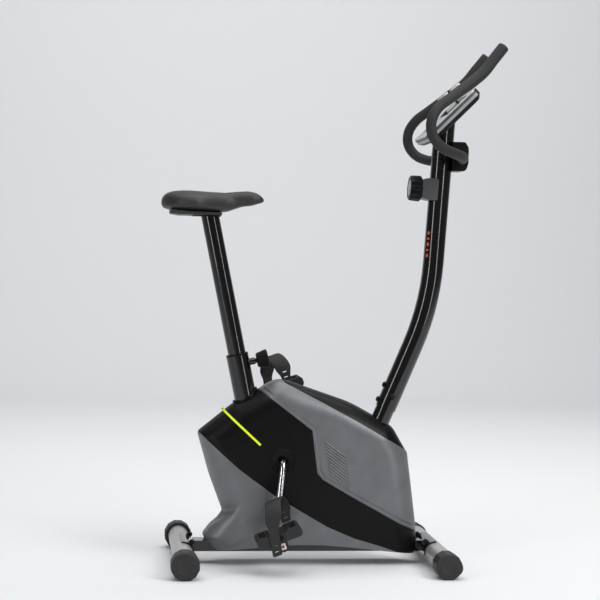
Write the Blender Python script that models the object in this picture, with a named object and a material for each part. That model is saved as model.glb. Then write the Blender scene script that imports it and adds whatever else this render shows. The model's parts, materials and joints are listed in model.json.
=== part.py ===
# Upright magnetic exercise bike, modelled as its separate pieces.
# Metres, +Z up. The rider faces +X and sits over Y = 0; "right" is the rider's right, -Y.
# The origin is on the floor, halfway between the saddle's tail and the handlebar's tips.

import math

import bmesh
import bpy
import numpy as np
from mathutils import Matrix, Vector
from mathutils.geometry import delaunay_2d_cdt

GAP = 0.0003  # what two touching pieces keep between them
X_AXIS, Y_AXIS, Z_AXIS = Vector((1, 0, 0)), Vector((0, 1, 0)), Vector((0, 0, 1))
SIDES = (("right", -1.0), ("left", 1.0))

# ---- feet
REAR_FOOT_X = -0.3515
FRONT_FOOT_X = 0.2695
FOOT_HALF_WIDTH = 0.240
FOOT_TUBE_RADIUS = 0.025
FOOT_TUBE_WALL = 0.0015
FOOT_TUBE_Z = 0.0350
FRONT_TUBE_SHORT = 0.0365  # how far inside the cap's end the front tube stops, behind the roller
CAP_LENGTH = 0.050
CAP_SIDES = 12
REAR_CAP_RADIUS = 0.0345
FRONT_CAP_RADIUS = 0.0322
WHEEL_RADIUS = 0.0200
WHEEL_CENTRE = (0.2862, 0.218, 0.0255)  # tucked into the outer end of the front cap
WHEEL_WIDTH = 0.016
SADDLE_PLATE_HALF = 0.070  # curved plates that hold the foot tubes
SADDLE_PLATE_THICK = 0.0035
FOOT_BOLT_Y = 0.055

# ---- frame
BEAM_HALF_WIDTH = 0.025
BEAM_LOW, BEAM_HIGH = 0.032, 0.058
SEAT_TILT = math.radians(12.0)
SLEEVE_TOP = Vector((-0.2222, 0.0, 0.511))
SLEEVE_RADIUS = 0.0275
SLEEVE_BORE = 0.0255
BRACKET_SHELL_RADIUS = 0.029
BRACKET_SHELL_HALF = 0.030
CRANK_CENTRE = Vector((-0.112, 0.0, 0.259))

# ---- column
COLUMN_RADIUS = 0.026
COLUMN_BORE = 0.0242
COLUMN_LOW_TILT = math.radians(22.6)
COLUMN_HIGH_TILT = math.radians(3.6)
COLUMN_LOW_POINT = Vector((0.157, 0.0, 0.402))
COLUMN_HIGH_POINT = Vector((0.276, 0.0, 0.9525))
COLUMN_BEND_RADIUS = 0.65
COLUMN_FOOT_Z = 0.384
COLUMN_SEGMENTS = 18
STUB_RADIUS = 0.0237
STUB_BORE = 0.0215

# ---- drive
CRANK_LENGTH = 0.165
CRANK_ANGLE = math.radians(6.0)  # right arm, behind straight down
CRANK_BAR_RADIUS = 0.0075
CRANK_ARM_Y = 0.100
DRIVE_PULLEY_RADIUS = 0.095
FLYWHEEL_Z = 0.195
FLYWHEEL_RADIUS = 0.100
FLYWHEEL_Y = (0.031, 0.049)
SMALL_PULLEY_RADIUS = 0.0225
IDLER_RADIUS = 0.014
IDLER_X = -0.004
BELT_Y = (-0.0465, -0.0345)
BELT_THICK = 0.0025
AXLE_RADIUS = 0.010

# ---- pedals
PEDAL_TILT = math.radians(20.0)
PEDAL_INNER_Y = 0.1165
PEDAL_WIDTH = 0.088
PEDAL_HALF_LENGTH = 0.055
PEDAL_HALF_THICK = 0.0125
SPINDLE_RADIUS = 0.006
STRAP_LEAN = {"right": 0.004, "left": -0.012}  # how far along the foot each strap has flopped

# ---- shroud
SHROUD_HALF_WIDTH = 0.065
SHROUD_EDGE_DEPTH = 0.055  # how far in from the outline the side has rounded over
SHROUD_WALL = 0.0025
SHROUD_RINGS = (0.06, 0.22, 0.48, 0.80)  # shares of the edge depth that carry a line of points
TILE_GAP = 0.0002  # each tile draws back this far from a joint line

# ---- seat
POST_RADIUS = 0.022
POST_WALL = 0.002
POST_TOP_Z = 0.8500
POST_INSERTION = 0.190
SADDLE_TAIL_X, SADDLE_NOSE_X = -0.416, -0.160

# ---- handlebar and console
BAR_CENTRE = Vector((0.3225, 0.0, 1.004))
BAR_RADIUS = 0.0100
BAR_WALL = 0.0018
BAR_SET = (0.050, 0.033)  # the left half leads and hangs by these shares of its reach
FOAM_LOOP_RADIUS = 0.0124
FOAM_TIP_RADIUS = 0.0140
CONSOLE_TILT = math.radians(45.0)
CONSOLE_FOOT = Vector((0.222, 0.0, 1.055))  # lower edge of the face
CONSOLE_LENGTH = 0.175
CONSOLE_HALF_WIDTH = 0.086
CONSOLE_BACK_THICK = 0.0105
CONSOLE_FACE_THICK = 0.0165
KNOB_Z = 0.928
KNOB_RADIUS = 0.032


# ---------------------------------------------------------------- helpers
def clear_scene():
    for obj in list(bpy.data.objects):
        bpy.data.objects.remove(obj)


def finish_name(name, hex_colour, roughness, metallic):
    """One Principled material of its own for each sub-part."""
    mat = bpy.data.materials.new(name)
    mat.use_nodes = True
    shader = mat.node_tree.nodes["Principled BSDF"]
    channels = [int(hex_colour[i : i + 2], 16) / 255 for i in (1, 3, 5)]
    linear = [c / 12.92 if c < 0.04045 else ((c + 0.055) / 1.055) ** 2.4 for c in channels]
    shader.inputs["Base Color"].default_value = (*linear, 1.0)
    shader.inputs["Roughness"].default_value = roughness
    shader.inputs["Metallic"].default_value = metallic
    mat.diffuse_color = (*linear, 1.0)
    return mat


BLACK_PAINT = ("#101012", 0.25, 0.0)
BLACK_PLASTIC = ("#161617", 0.42, 0.0)
CAP_PLASTIC = ("#2b2b2c", 0.55, 0.0)
GREY_PLASTIC = ("#6b6d6e", 0.40, 0.0)
SILVER_PAINT = ("#a9a9a5", 0.38, 0.3)
STEEL = ("#8a8b8c", 0.35, 1.0)
CHROME = ("#d5d6d8", 0.08, 1.0)
FOAM = ("#333333", 0.90, 0.0)
VINYL = ("#3a3a38", 0.62, 0.0)
RUBBER = ("#232324", 0.70, 0.0)


def make(name, verts, faces, finish, smooth_degrees=35.0):
    """A closed solid from points and faces, with its faces turned outwards."""
    mesh = bpy.data.meshes.new(name)
    bm = bmesh.new()
    points = [bm.verts.new(v) for v in verts]
    for face in faces:
        bm.faces.new([points[i] for i in face])
    bmesh.ops.recalc_face_normals(bm, faces=bm.faces)
    if bm.calc_volume(signed=True) < 0:
        bmesh.ops.reverse_faces(bm, faces=bm.faces)
    bm.to_mesh(mesh)
    bm.free()
    mesh.shade_smooth()
    mesh.set_sharp_from_angle(angle=math.radians(smooth_degrees))
    obj = bpy.data.objects.new(name, mesh)
    bpy.context.scene.collection.objects.link(obj)
    mesh.materials.append(finish_name(name, *finish))
    return obj


def cutter(name, verts, faces):
    obj = make(name, verts, faces, BLACK_PLASTIC)
    obj.hide_render = True
    obj.display_type = "WIRE"
    return obj


def combine(obj, tool, operation="DIFFERENCE"):
    """Apply a Boolean at once, and drop the tool."""
    mod = obj.modifiers.new(operation.lower(), "BOOLEAN")
    mod.operation = operation
    mod.solver = "EXACT"
    mod.object = tool
    graph = bpy.context.evaluated_depsgraph_get()
    result = bpy.data.meshes.new_from_object(obj.evaluated_get(graph))
    obj.modifiers.clear()
    old = obj.data
    materials = list(old.materials)
    obj.data = result
    result.materials.clear()
    result.materials.append(materials[0])
    for polygon in result.polygons:
        polygon.material_index = 0
    bpy.data.meshes.remove(old)
    bpy.data.objects.remove(tool)
    bm = bmesh.new()
    bm.from_mesh(result)
    bmesh.ops.remove_doubles(bm, verts=bm.verts, dist=1e-6)
    bmesh.ops.dissolve_degenerate(bm, dist=1e-6, edges=bm.edges)
    bm.to_mesh(result)
    bm.free()
    result.shade_smooth()
    result.set_sharp_from_angle(angle=math.radians(35.0))


def frame_of(direction, hint=Y_AXIS):
    """Two unit vectors square to a direction; the first leans to the hint."""
    d = Vector(direction).normalized()
    first = Vector(hint) - d * d.dot(hint)
    if first.length < 1e-6:
        first = Z_AXIS - d * d.dot(Z_AXIS)
    first.normalize()
    return first, d.cross(first)


def ring(centre, direction, radius, segments, hint=Y_AXIS, turn=0.0, squash=1.0):
    u, v = frame_of(direction, hint)
    angles = [2 * math.pi * (k + turn) / segments for k in range(segments)]
    return [centre + u * math.cos(a) * radius + v * math.sin(a) * radius * squash for a in angles]


def around(radius, segments):
    """The corner radius of a polygon whose flats clear the given radius."""
    return radius / math.cos(math.pi / segments)


def join_rings(rings, closed_ends=True, loop=False):
    """Points and faces of a skin through rings of the same count."""
    count = len(rings[0])
    verts = [p for r in rings for p in r]
    faces = []
    last = len(rings) if loop else len(rings) - 1
    for i in range(last):
        a, b = i * count, ((i + 1) % len(rings)) * count
        for k in range(count):
            n = (k + 1) % count
            faces.append((a + k, a + n, b + n, b + k))
    if closed_ends and not loop:
        faces.append(tuple(range(count)))
        faces.append(tuple((len(rings) - 1) * count + k for k in range(count)))
    return verts, faces


def turned(base, direction, profile, segments, hint=Y_AXIS, turn=0.0):
    """A turned solid. profile is (distance along the axis, radius); equal first and last points make a ring."""
    axis = Vector(direction).normalized()
    is_ring = profile[0] == profile[-1]
    points = profile[:-1] if is_ring else profile
    rings = [ring(base + axis * s, axis, r, segments, hint, turn) for s, r in points]
    return join_rings(rings, closed_ends=not is_ring, loop=is_ring)


def hollow(base, direction, length, outer, inner, segments, hint=Y_AXIS, turn=0.0):
    """A plain pipe: its bore runs right through."""
    corner = around(inner, segments)
    profile = [(0, corner), (0, outer), (length, outer), (length, corner), (0, corner)]
    return turned(base, direction, profile, segments, hint, turn)


def rod(base, direction, length, radius, segments, hint=Y_AXIS):
    return turned(base, direction, [(0, radius), (length, radius)], segments, hint)


def block(low, high, matrix=None):
    """A box between two corners, placed by a matrix when one is given."""
    corners = [Vector((x, y, z)) for x in (low[0], high[0]) for y in (low[1], high[1]) for z in (low[2], high[2])]
    if matrix is not None:
        corners = [matrix @ c for c in corners]
    faces = [(0, 1, 3, 2), (4, 6, 7, 5), (0, 4, 5, 1), (2, 3, 7, 6), (0, 2, 6, 4), (1, 5, 7, 3)]
    return corners, faces


def arc(cx, cz, radius, start, end, steps):
    """Points on a circular arc in the side plane, angles in degrees."""
    angles = [math.radians(start + (end - start) * i / steps) for i in range(steps + 1)]
    return [(cx + radius * math.cos(a), cz + radius * math.sin(a)) for a in angles]


def extruded(outline, y_from, y_to, matrix=None):
    """A side-plane outline given thickness across the bike."""
    rings = [[Vector((x, y, z)) for x, z in outline] for y in (y_from, y_to)]
    if matrix is not None:
        rings = [[matrix @ p for p in r] for r in rings]
    return join_rings(rings)


def rounded_outline(corners, step_degrees=18.0):
    """A closed outline from (x, z, radius) corners, each rounded by an arc."""
    points = []
    count = len(corners)
    for i, (x, z, radius) in enumerate(corners):
        here = Vector((x, z))
        before = (Vector(corners[i - 1][:2]) - here).normalized()
        after = (Vector(corners[(i + 1) % count][:2]) - here).normalized()
        half = before.angle(after) / 2
        reach = radius / math.tan(half)
        middle = here + (before + after).normalized() * (radius / math.sin(half))
        first, last = here + before * reach, here + after * reach
        a0 = math.atan2(first.y - middle.y, first.x - middle.x)
        a1 = math.atan2(last.y - middle.y, last.x - middle.x)
        sweep = (a1 - a0 + math.pi) % (2 * math.pi) - math.pi
        steps = max(1, math.ceil(abs(math.degrees(sweep)) / step_degrees))
        for k in range(steps + 1):
            a = a0 + sweep * k / steps
            points.append((middle.x + radius * math.cos(a), middle.y + radius * math.sin(a)))
    return points


def smooth_path(knots, step):
    """A Catmull-Rom curve through the knots, with a point about every step."""
    ends = [knots[0] * 2 - knots[1], *knots, knots[-1] * 2 - knots[-2]]
    path = []
    for i in range(1, len(ends) - 2):
        p0, p1, p2, p3 = ends[i - 1 : i + 3]
        count = max(1, round((p2 - p1).length / step))
        for k in range(count):
            t = k / count
            path.append(
                0.5 * ((2 * p1) + (p2 - p0) * t + (2 * p0 - 5 * p1 + 4 * p2 - p3) * t**2
                       + (3 * p1 - p0 - 3 * p2 + p3) * t**3)
            )
    path.append(knots[-1].copy())
    return path


def tangents(path):
    return [
        (path[min(i + 1, len(path) - 1)] - path[max(i - 1, 0)]).normalized() for i in range(len(path))
    ]


def sweep_rings(path, radii, segments, hint=Y_AXIS):
    """Rings along a path that turn as little as they can."""
    dirs = tangents(path)
    u, _ = frame_of(dirs[0], hint)
    rings = []
    for point, d, radius in zip(path, dirs, radii):
        u = (u - d * d.dot(u)).normalized()
        v = d.cross(u)
        angles = [2 * math.pi * k / segments for k in range(segments)]
        rings.append([point + (u * math.cos(a) + v * math.sin(a)) * radius for a in angles])
    return rings


# ---------------------------------------------------------------- directions and lines
SEAT_UP = Vector((-math.sin(SEAT_TILT), 0, math.cos(SEAT_TILT)))
SEAT_FORWARD = Vector((math.cos(SEAT_TILT), 0, math.sin(SEAT_TILT)))
COLUMN_LOW_UP = Vector((math.sin(COLUMN_LOW_TILT), 0, math.cos(COLUMN_LOW_TILT)))
COLUMN_HIGH_UP = Vector((math.sin(COLUMN_HIGH_TILT), 0, math.cos(COLUMN_HIGH_TILT)))


def on_low_line(z):
    return COLUMN_LOW_POINT + COLUMN_LOW_UP * ((z - COLUMN_LOW_POINT.z) / COLUMN_LOW_UP.z)


def on_high_line(z):
    return COLUMN_HIGH_POINT + COLUMN_HIGH_UP * ((z - COLUMN_HIGH_POINT.z) / COLUMN_HIGH_UP.z)


FLYWHEEL_CENTRE = on_low_line(FLYWHEEL_Z)
ARM_DOWN = Vector((-math.sin(CRANK_ANGLE), 0, -math.cos(CRANK_ANGLE)))


# ---------------------------------------------------------------- feet
def make_feet():
    for place, x in (("rear", REAR_FOOT_X), ("front", FRONT_FOOT_X)):
        radius = REAR_CAP_RADIUS if place == "rear" else FRONT_CAP_RADIUS
        flat = radius * math.cos(math.pi / CAP_SIDES)
        half = FOOT_HALF_WIDTH - (0.004 if place == "rear" else FRONT_TUBE_SHORT)
        start = Vector((x, -half, FOOT_TUBE_Z))
        pipe = hollow(start, Y_AXIS, 2 * half, FOOT_TUBE_RADIUS, FOOT_TUBE_RADIUS - FOOT_TUBE_WALL, 20, Z_AXIS)
        make(f"{place}_stabilizer", *pipe, SILVER_PAINT)
        for side, sign in SIDES:
            outer = Vector((x, sign * FOOT_HALF_WIDTH, flat))
            inward = Vector((0, -sign, 0))
            profile = [(0, radius * 0.91), (0.003, radius), (CAP_LENGTH, radius)]
            cap = make(
                f"{place}_foot_cap_{side}", *turned(outer, inward, profile, CAP_SIDES, Z_AXIS, 0.5), CAP_PLASTIC
            )
            socket = around(FOOT_TUBE_RADIUS + GAP, 20)
            mouth = Vector((x, sign * (half + GAP), FOOT_TUBE_Z))
            combine(cap, cutter("socket", *rod(mouth, inward, CAP_LENGTH, socket, 20, Z_AXIS)))
            if place == "front":
                make_transport_wheel(cap, side, sign)


def make_transport_wheel(cap, side, sign):
    """A small roller in a slot in the front of the cap, on a pin moulded in the cap."""
    x, y, z = WHEEL_CENTRE
    centre = Vector((x, sign * y, z))
    half = WHEEL_WIDTH / 2
    slot_low = (x - WHEEL_RADIUS - 0.0015, centre.y - half - 0.001, -0.01)
    slot_high = (x + WHEEL_RADIUS + 0.02, centre.y + half + 0.001, z + WHEEL_RADIUS + 0.0015)
    combine(cap, cutter("slot", *block(slot_low, slot_high)))
    pin_start = centre - Y_AXIS * (half + 0.003)
    combine(cap, cutter("pin", *rod(pin_start, Y_AXIS, WHEEL_WIDTH + 0.006, 0.003, 12)), "UNION")
    corner = around(0.0032, 12)
    profile = [
        (0, corner), (0, WHEEL_RADIUS - 0.002), (0.002, WHEEL_RADIUS), (WHEEL_WIDTH - 0.002, WHEEL_RADIUS),
        (WHEEL_WIDTH, WHEEL_RADIUS - 0.002), (WHEEL_WIDTH, corner), (0, corner),
    ]
    make(f"transport_wheel_{side}", *turned(centre - Y_AXIS * half, Y_AXIS, profile, 20), RUBBER)


def foot_bolt_place(x, towards):
    """The point on a foot plate that a bolt's head stands on, and the way it points out."""
    lean = math.radians(48.0)
    out = Vector((towards * math.cos(lean), 0, math.sin(lean)))
    return Vector((x, 0, FOOT_TUBE_Z)) + out * (FOOT_TUBE_RADIUS + GAP + SADDLE_PLATE_THICK), out


def make_foot_bolts():
    for place, x, towards in (("rear", REAR_FOOT_X, 1.0), ("front", FRONT_FOOT_X, -1.0)):
        seat, out = foot_bolt_place(x, towards)
        for side, sign in SIDES:
            base = seat + Y_AXIS * (sign * FOOT_BOLT_Y) + out * GAP
            profile = [
                (0, 0.0085), (0.0015, 0.0085), (0.0015, 0.0066), (0.0065, 0.0066), (0.0095, 0.0052), (0.0115, 0.0026),
            ]
            make(f"{place}_foot_nut_{side}", *turned(base, out, profile, 12), BLACK_PAINT)


# ---------------------------------------------------------------- main frame
def make_main_frame():
    low = (REAR_FOOT_X + 0.0270, -BEAM_HALF_WIDTH, BEAM_LOW)
    high = (FRONT_FOOT_X - 0.0270, BEAM_HALF_WIDTH, BEAM_HIGH)
    frame = make("main_frame", *block(low, high), BLACK_PAINT)
    wall = 0.0025
    combine(frame, cutter("beam_bore", *block([c + wall for c in low], [c - wall for c in high])))
    combine(frame, cutter("beam_vent", *rod(Vector((0.10, 0, BEAM_LOW - 0.005)), Z_AXIS, 0.015, 0.005, 12)))
    for x, start, end in ((REAR_FOOT_X, 95, -12), (FRONT_FOOT_X, 85, 192)):
        inner = arc(x, FOOT_TUBE_Z, FOOT_TUBE_RADIUS + GAP + 0.0002, start, end, 8)
        outer = arc(x, FOOT_TUBE_Z, FOOT_TUBE_RADIUS + GAP + SADDLE_PLATE_THICK, end, start, 8)
        plate = cutter("foot_plate", *extruded(inner + outer, -SADDLE_PLATE_HALF, SADDLE_PLATE_HALF))
        combine(frame, plate, "UNION")

    sleeve_low = SLEEVE_TOP - SEAT_UP * 0.472
    combine(frame, cutter("sleeve", *rod(sleeve_low, SEAT_UP, 0.472, SLEEVE_RADIUS, COLUMN_SEGMENTS)), "UNION")
    shell_start = CRANK_CENTRE - Y_AXIS * BRACKET_SHELL_HALF
    shell = rod(shell_start, Y_AXIS, 2 * BRACKET_SHELL_HALF, BRACKET_SHELL_RADIUS, 20, Z_AXIS)
    combine(frame, cutter("bracket_shell", *shell), "UNION")

    stub_low = on_low_line(BEAM_LOW + 0.008)
    stub_length = (on_low_line(COLUMN_FOOT_Z + 0.075) - stub_low).length
    combine(frame, cutter("stub", *rod(stub_low, COLUMN_LOW_UP, stub_length, STUB_RADIUS, COLUMN_SEGMENTS)), "UNION")
    boss_start = FLYWHEEL_CENTRE - Y_AXIS * 0.029
    combine(frame, cutter("axle_boss", *rod(boss_start, Y_AXIS, 0.0585, 0.0175, 20, Z_AXIS)), "UNION")
    make_arm_bracket(frame)

    boss = rod(seat_knob_base() - SEAT_FORWARD * 0.0018, SEAT_FORWARD, 0.0150, 0.0086, 12)
    combine(frame, cutter("knob_boss", *boss), "UNION")
    bore_low = SLEEVE_TOP - SEAT_UP * 0.430
    bore = rod(bore_low, SEAT_UP, 0.450, around(SLEEVE_BORE, COLUMN_SEGMENTS), COLUMN_SEGMENTS)
    combine(frame, cutter("sleeve_bore", *bore))
    knob_hole = rod(seat_knob_base() - SEAT_FORWARD * 0.020, SEAT_FORWARD, 0.050, around(0.0063, 12), 12)
    combine(frame, cutter("knob_hole", *knob_hole))
    shell_bore = rod(shell_start - Y_AXIS * 0.01, Y_AXIS, 0.080, around(0.0235, 20), 20, Z_AXIS)
    combine(frame, cutter("shell_bore", *shell_bore))
    stub_bore = rod(on_low_line(FLYWHEEL_Z + 0.028), COLUMN_LOW_UP, 0.35, around(STUB_BORE, 20), COLUMN_SEGMENTS)
    combine(frame, cutter("stub_bore", *stub_bore))
    axle_bore = rod(boss_start - Y_AXIS * 0.01, Y_AXIS, 0.080, around(AXLE_RADIUS + GAP, 20), 20, Z_AXIS)
    combine(frame, cutter("axle_bore", *axle_bore))
    cable_window = block((-0.012, 0.0, -0.010), (0.012, 0.040, 0.010), Matrix.Translation(on_low_line(0.262)))
    combine(frame, cutter("cable_window", *cable_window))
    for base, out in column_bolts().values():
        hole = rod(base - out * 0.016, out, 0.020, around(0.0042, 12), 12)
        combine(frame, cutter("bolt_hole", *hole))


ARM_PIVOT = Vector((-0.052, 0.0, 0.128))


def make_arm_bracket(frame):
    """A flat bar welded to the stub, with the pin that the magnet arm and the idler arm turn on."""
    bar = block((ARM_PIVOT.x - 0.011, -0.004, ARM_PIVOT.z - 0.010), (0.048, 0.004, ARM_PIVOT.z + 0.010))
    combine(frame, cutter("arm_bar", *bar), "UNION")
    pin = rod(ARM_PIVOT - Y_AXIS * 0.046, Y_AXIS, 0.092, 0.005, 16)
    combine(frame, cutter("arm_pin", *pin), "UNION")


# ---------------------------------------------------------------- column
def column_path():
    """A straight foot, one long bend and a straight head, in the side plane."""
    turn = COLUMN_LOW_TILT - COLUMN_HIGH_TILT
    reach = COLUMN_BEND_RADIUS * math.tan(turn / 2)
    gap = COLUMN_HIGH_POINT - COLUMN_LOW_POINT
    along = (gap.x * COLUMN_HIGH_UP.z - gap.z * COLUMN_HIGH_UP.x) / math.sin(turn)
    corner = COLUMN_LOW_POINT + COLUMN_LOW_UP * along
    start = corner - COLUMN_LOW_UP * reach
    centre = start + Vector((-COLUMN_LOW_UP.z, 0, COLUMN_LOW_UP.x)) * COLUMN_BEND_RADIUS
    path = [on_low_line(COLUMN_FOOT_Z), on_low_line(COLUMN_FOOT_Z + 0.080)]
    steps = 7
    for i in range(steps + 1):
        tilt = COLUMN_LOW_TILT - turn * i / steps
        path.append(centre + Vector((math.cos(tilt), 0, -math.sin(tilt))) * COLUMN_BEND_RADIUS)
    path.append(on_high_line(1.03))
    return path


def console_under_z(x):
    """Height of the console's back face over a point of the side plane."""
    thick = (CONSOLE_BACK_THICK + CONSOLE_FACE_THICK) / math.cos(CONSOLE_TILT)
    return CONSOLE_FOOT.z + (x - CONSOLE_FOOT.x) * math.tan(CONSOLE_TILT) - thick


def to_console(point):
    """Slide a point up the column's head onto the console's back face."""
    slope = math.tan(CONSOLE_TILT)
    height = (console_under_z(point.x) - GAP - point.z) / (COLUMN_HIGH_UP.z - slope * COLUMN_HIGH_UP.x)
    return point + COLUMN_HIGH_UP * height


def make_column():
    path = column_path()
    outer = sweep_rings(path, [COLUMN_RADIUS] * len(path), COLUMN_SEGMENTS)
    inner = sweep_rings(path, [around(COLUMN_BORE, COLUMN_SEGMENTS)] * len(path), COLUMN_SEGMENTS)
    outer.append([to_console(p) for p in outer[-1]])
    inner.append([to_console(p) for p in inner[-1]])
    column = make("column", *join_rings(outer + inner[::-1], loop=True), BLACK_PAINT)
    for base, out in column_bolts().values():
        combine(column, cutter("bolt_hole", *rod(base - out * 0.016, out, 0.020, around(0.0042, 12), 12)))
    cable_hole = rod(Vector((0.272, 0, KNOB_Z)), -column_out(), 0.05, around(0.004, 12), 12)
    combine(column, cutter("cable_hole", *cable_hole))


def column_out():
    """The way the column's head faces away from the rider."""
    return Vector((COLUMN_HIGH_UP.z, 0, -COLUMN_HIGH_UP.x))


def column_bolts():
    """Where each clamping screw's head sits on the column's foot, and which way it points."""
    rearward = Vector((-COLUMN_LOW_UP.z, 0, COLUMN_LOW_UP.x))
    skin = COLUMN_RADIUS + GAP
    return {
        "column_screw_upper": (on_low_line(0.433) + rearward * skin, rearward),
        "column_screw_lower": (on_low_line(0.397) + rearward * skin, rearward),
        "column_screw_side": (on_low_line(0.414) - Y_AXIS * skin, -Y_AXIS),
    }


def make_column_bolts():
    for name, (base, out) in column_bolts().items():
        profile = [(-0.011, 0.0038), (0.0, 0.0038), (0.0, 0.0075), (0.0022, 0.0072), (0.0044, 0.0050), (0.0052, 0.0024)]
        make(name, *turned(base, out, profile, 12), BLACK_PAINT)


# ---------------------------------------------------------------- shroud
# Outline corners in the side plane (x, z, radius), from the rear vertex over the top.
SHROUD_CLOSED = [
    (-0.3180, 0.3240, 0.012), (-0.2320, 0.3940, 0.120), (-0.1200, 0.4590, 0.060), (0.0600, 0.3990, 0.300),
    (0.1660, 0.3410, 0.060), (0.2030, 0.2780, 0.020), (0.2380, 0.0260, 0.006),
]
SHROUD_UNDER = [(-0.0400, 0.0570, 0.900), (-0.2770, 0.0350, 0.008)]
SHROUD_FIN = [(-0.2990, 0.0680, 0.006), (-0.2530, 0.1300, 0.012), (-0.2880, 0.2210, 0.200)]

UPPER_PANEL_EDGE = [
    (-0.1720, 0.4330), (-0.0400, 0.3330), (-0.0260, 0.2290), (-0.0140, 0.2140), (0.0620, 0.1700), (0.1800, 0.1050),
    (0.2360, 0.0780),
]
SPINE_EDGE = [(-0.1180, 0.4620), (-0.1060, 0.4450), (-0.0080, 0.3960), (0.0760, 0.3520), (0.1620, 0.3030), (0.2080, 0.2740)]
LOWER_PANEL_EDGE = [
    (-0.3240, 0.3320), (-0.2160, 0.2370), (-0.1340, 0.1770), (-0.0600, 0.1330), (0.0020, 0.0970), (0.0700, 0.0680),
    (0.1340, 0.0490), (0.2200, 0.0180),
]


class Side:
    """The shroud's side as a height over the side plane: a barrel that rounds over to the outline."""

    def __init__(self):
        self.outline = np.array(rounded_outline(SHROUD_CLOSED + SHROUD_UNDER + SHROUD_FIN, 12.0))
        starts, ends = self.outline, np.roll(self.outline, -1, axis=0)
        middle = (starts + ends) / 2
        low_rear, low_front = SHROUD_UNDER[-1][0] + 0.005, SHROUD_CLOSED[-1][0] - 0.008
        is_under = (middle[:, 1] < 0.062) & (middle[:, 0] > low_rear) & (middle[:, 0] < low_front)
        self.starts, self.ends = starts[~is_under], ends[~is_under]
        # The same outline with its open underside let down, so that a point on the lower edge counts as inside.
        first = int(np.argmax(is_under))
        last = len(is_under) - 1 - int(np.argmax(is_under[::-1]))
        skirt = np.array([starts[first] - (0.0, 0.2), ends[last] - (0.0, 0.2)])
        self.let_down = np.vstack([self.outline[: first + 1], skirt, self.outline[last + 1 :]])

    def inside(self, points):
        return inside_loop(points, self.let_down)

    def distance(self, points):
        """Distance to the closed part of the outline."""
        run = self.ends - self.starts
        to = points[:, None, :] - self.starts[None]
        t = np.clip((to * run).sum(-1) / (run**2).sum(-1), 0, 1)
        return np.linalg.norm(to - t[..., None] * run, axis=-1).min(axis=1)

    def depth(self, points):
        return np.where(self.inside(points), 1.0, -1.0) * self.distance(points)

    def barrel(self, points):
        x, z = points[:, 0], points[:, 1]
        return SHROUD_HALF_WIDTH - 0.010 * ((z - 0.25) / 0.22) ** 2 - 0.004 * ((x + 0.03) / 0.25) ** 2

    def width(self, points):
        t = np.clip(self.depth(points) / SHROUD_EDGE_DEPTH, 0.0, 1.0)
        return self.barrel(points) * np.sqrt(1 - (1 - t) ** 2)

    def skin_and_normal(self, points):
        """Height of the skin and its outward normal, at points of the side plane."""
        step = 0.0004
        depth = self.depth(points)
        slopes = []
        for shift in ((step, 0.0), (0.0, step)):
            ahead, behind = self.depth(points + shift), self.depth(points - shift)
            slopes.append((ahead - behind) / (2 * step))
        t = np.clip(depth / SHROUD_EDGE_DEPTH, 0.0, 1.0)
        rounding = np.sqrt(np.maximum(1 - (1 - t) ** 2, 1e-12))
        rate = self.barrel(points) * (1 - t) / np.maximum(rounding, 1e-4) / SHROUD_EDGE_DEPTH
        normal = np.stack([-rate * slopes[0], np.ones(len(points)), -rate * slopes[1]], axis=1)
        normal[:, 1] = np.where(depth < 1e-5, 0.0, normal[:, 1])
        normal /= np.linalg.norm(normal, axis=1)[:, None]
        return self.barrel(points) * rounding, normal, depth


def inside_loop(points, loop):
    """Which points of the side plane lie inside a closed outline."""
    x, z = points[:, 0:1], points[:, 1:2]
    a, b = loop, np.roll(loop, -1, axis=0)
    crosses = (a[:, 1] > z) != (b[:, 1] > z)
    rise = np.where(b[:, 1] == a[:, 1], 1.0, b[:, 1] - a[:, 1])
    at = a[:, 0] + (z - a[:, 1]) * (b[:, 0] - a[:, 0]) / rise
    return (crosses & (x < at)).sum(axis=1) % 2 == 1


def line_shifted(points, distance):
    """A polyline moved to its left by a distance."""
    moved = []
    for i, point in enumerate(points):
        a, b = Vector(points[max(i - 1, 0)]), Vector(points[min(i + 1, len(points) - 1)])
        d = (b - a).normalized()
        moved.append((point[0] - d.y * distance, point[1] + d.x * distance))
    return moved


def divided(points, step):
    """The same polyline with extra points, none further apart than a step."""
    out = [points[0]]
    for a, b in zip(points, points[1:]):
        run = math.hypot(b[0] - a[0], b[1] - a[1])
        count = max(1, math.ceil(run / step))
        out += [(a[0] + (b[0] - a[0]) * k / count, a[1] + (b[1] - a[1]) * k / count) for k in range(1, count + 1)]
    return out


def crossing(outline, line, at_end):
    """Where an edge line leaves the outline: (outline segment, point)."""
    a, b = (line[-2], line[-1]) if at_end else (line[1], line[0])
    best = None
    for i in range(len(outline)):
        p, q = outline[i], outline[(i + 1) % len(outline)]
        denominator = (b[0] - a[0]) * (q[1] - p[1]) - (b[1] - a[1]) * (q[0] - p[0])
        if abs(denominator) < 1e-12:
            continue
        t = ((p[0] - a[0]) * (q[1] - p[1]) - (p[1] - a[1]) * (q[0] - p[0])) / denominator
        s = ((p[0] - a[0]) * (b[1] - a[1]) - (p[1] - a[1]) * (b[0] - a[0])) / denominator
        if 0 <= s <= 1 and 0 <= t <= 1.0 and (best is None or t < best[0]):
            best = (t, i, (a[0] + (b[0] - a[0]) * t, a[1] + (b[1] - a[1]) * t))
    return best[1], best[2]


def outline_between(outline, start, end):
    """The outline's points from one crossing on to another."""
    (i, p), (j, q) = start, end
    points = [p]
    k = i
    while k != j:
        k = (k + 1) % len(outline)
        points.append(tuple(outline[k]))
    points.append(q)
    return [a for n, a in enumerate(points) if n == 0 or math.dist(a, points[n - 1]) > 5e-4]


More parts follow.
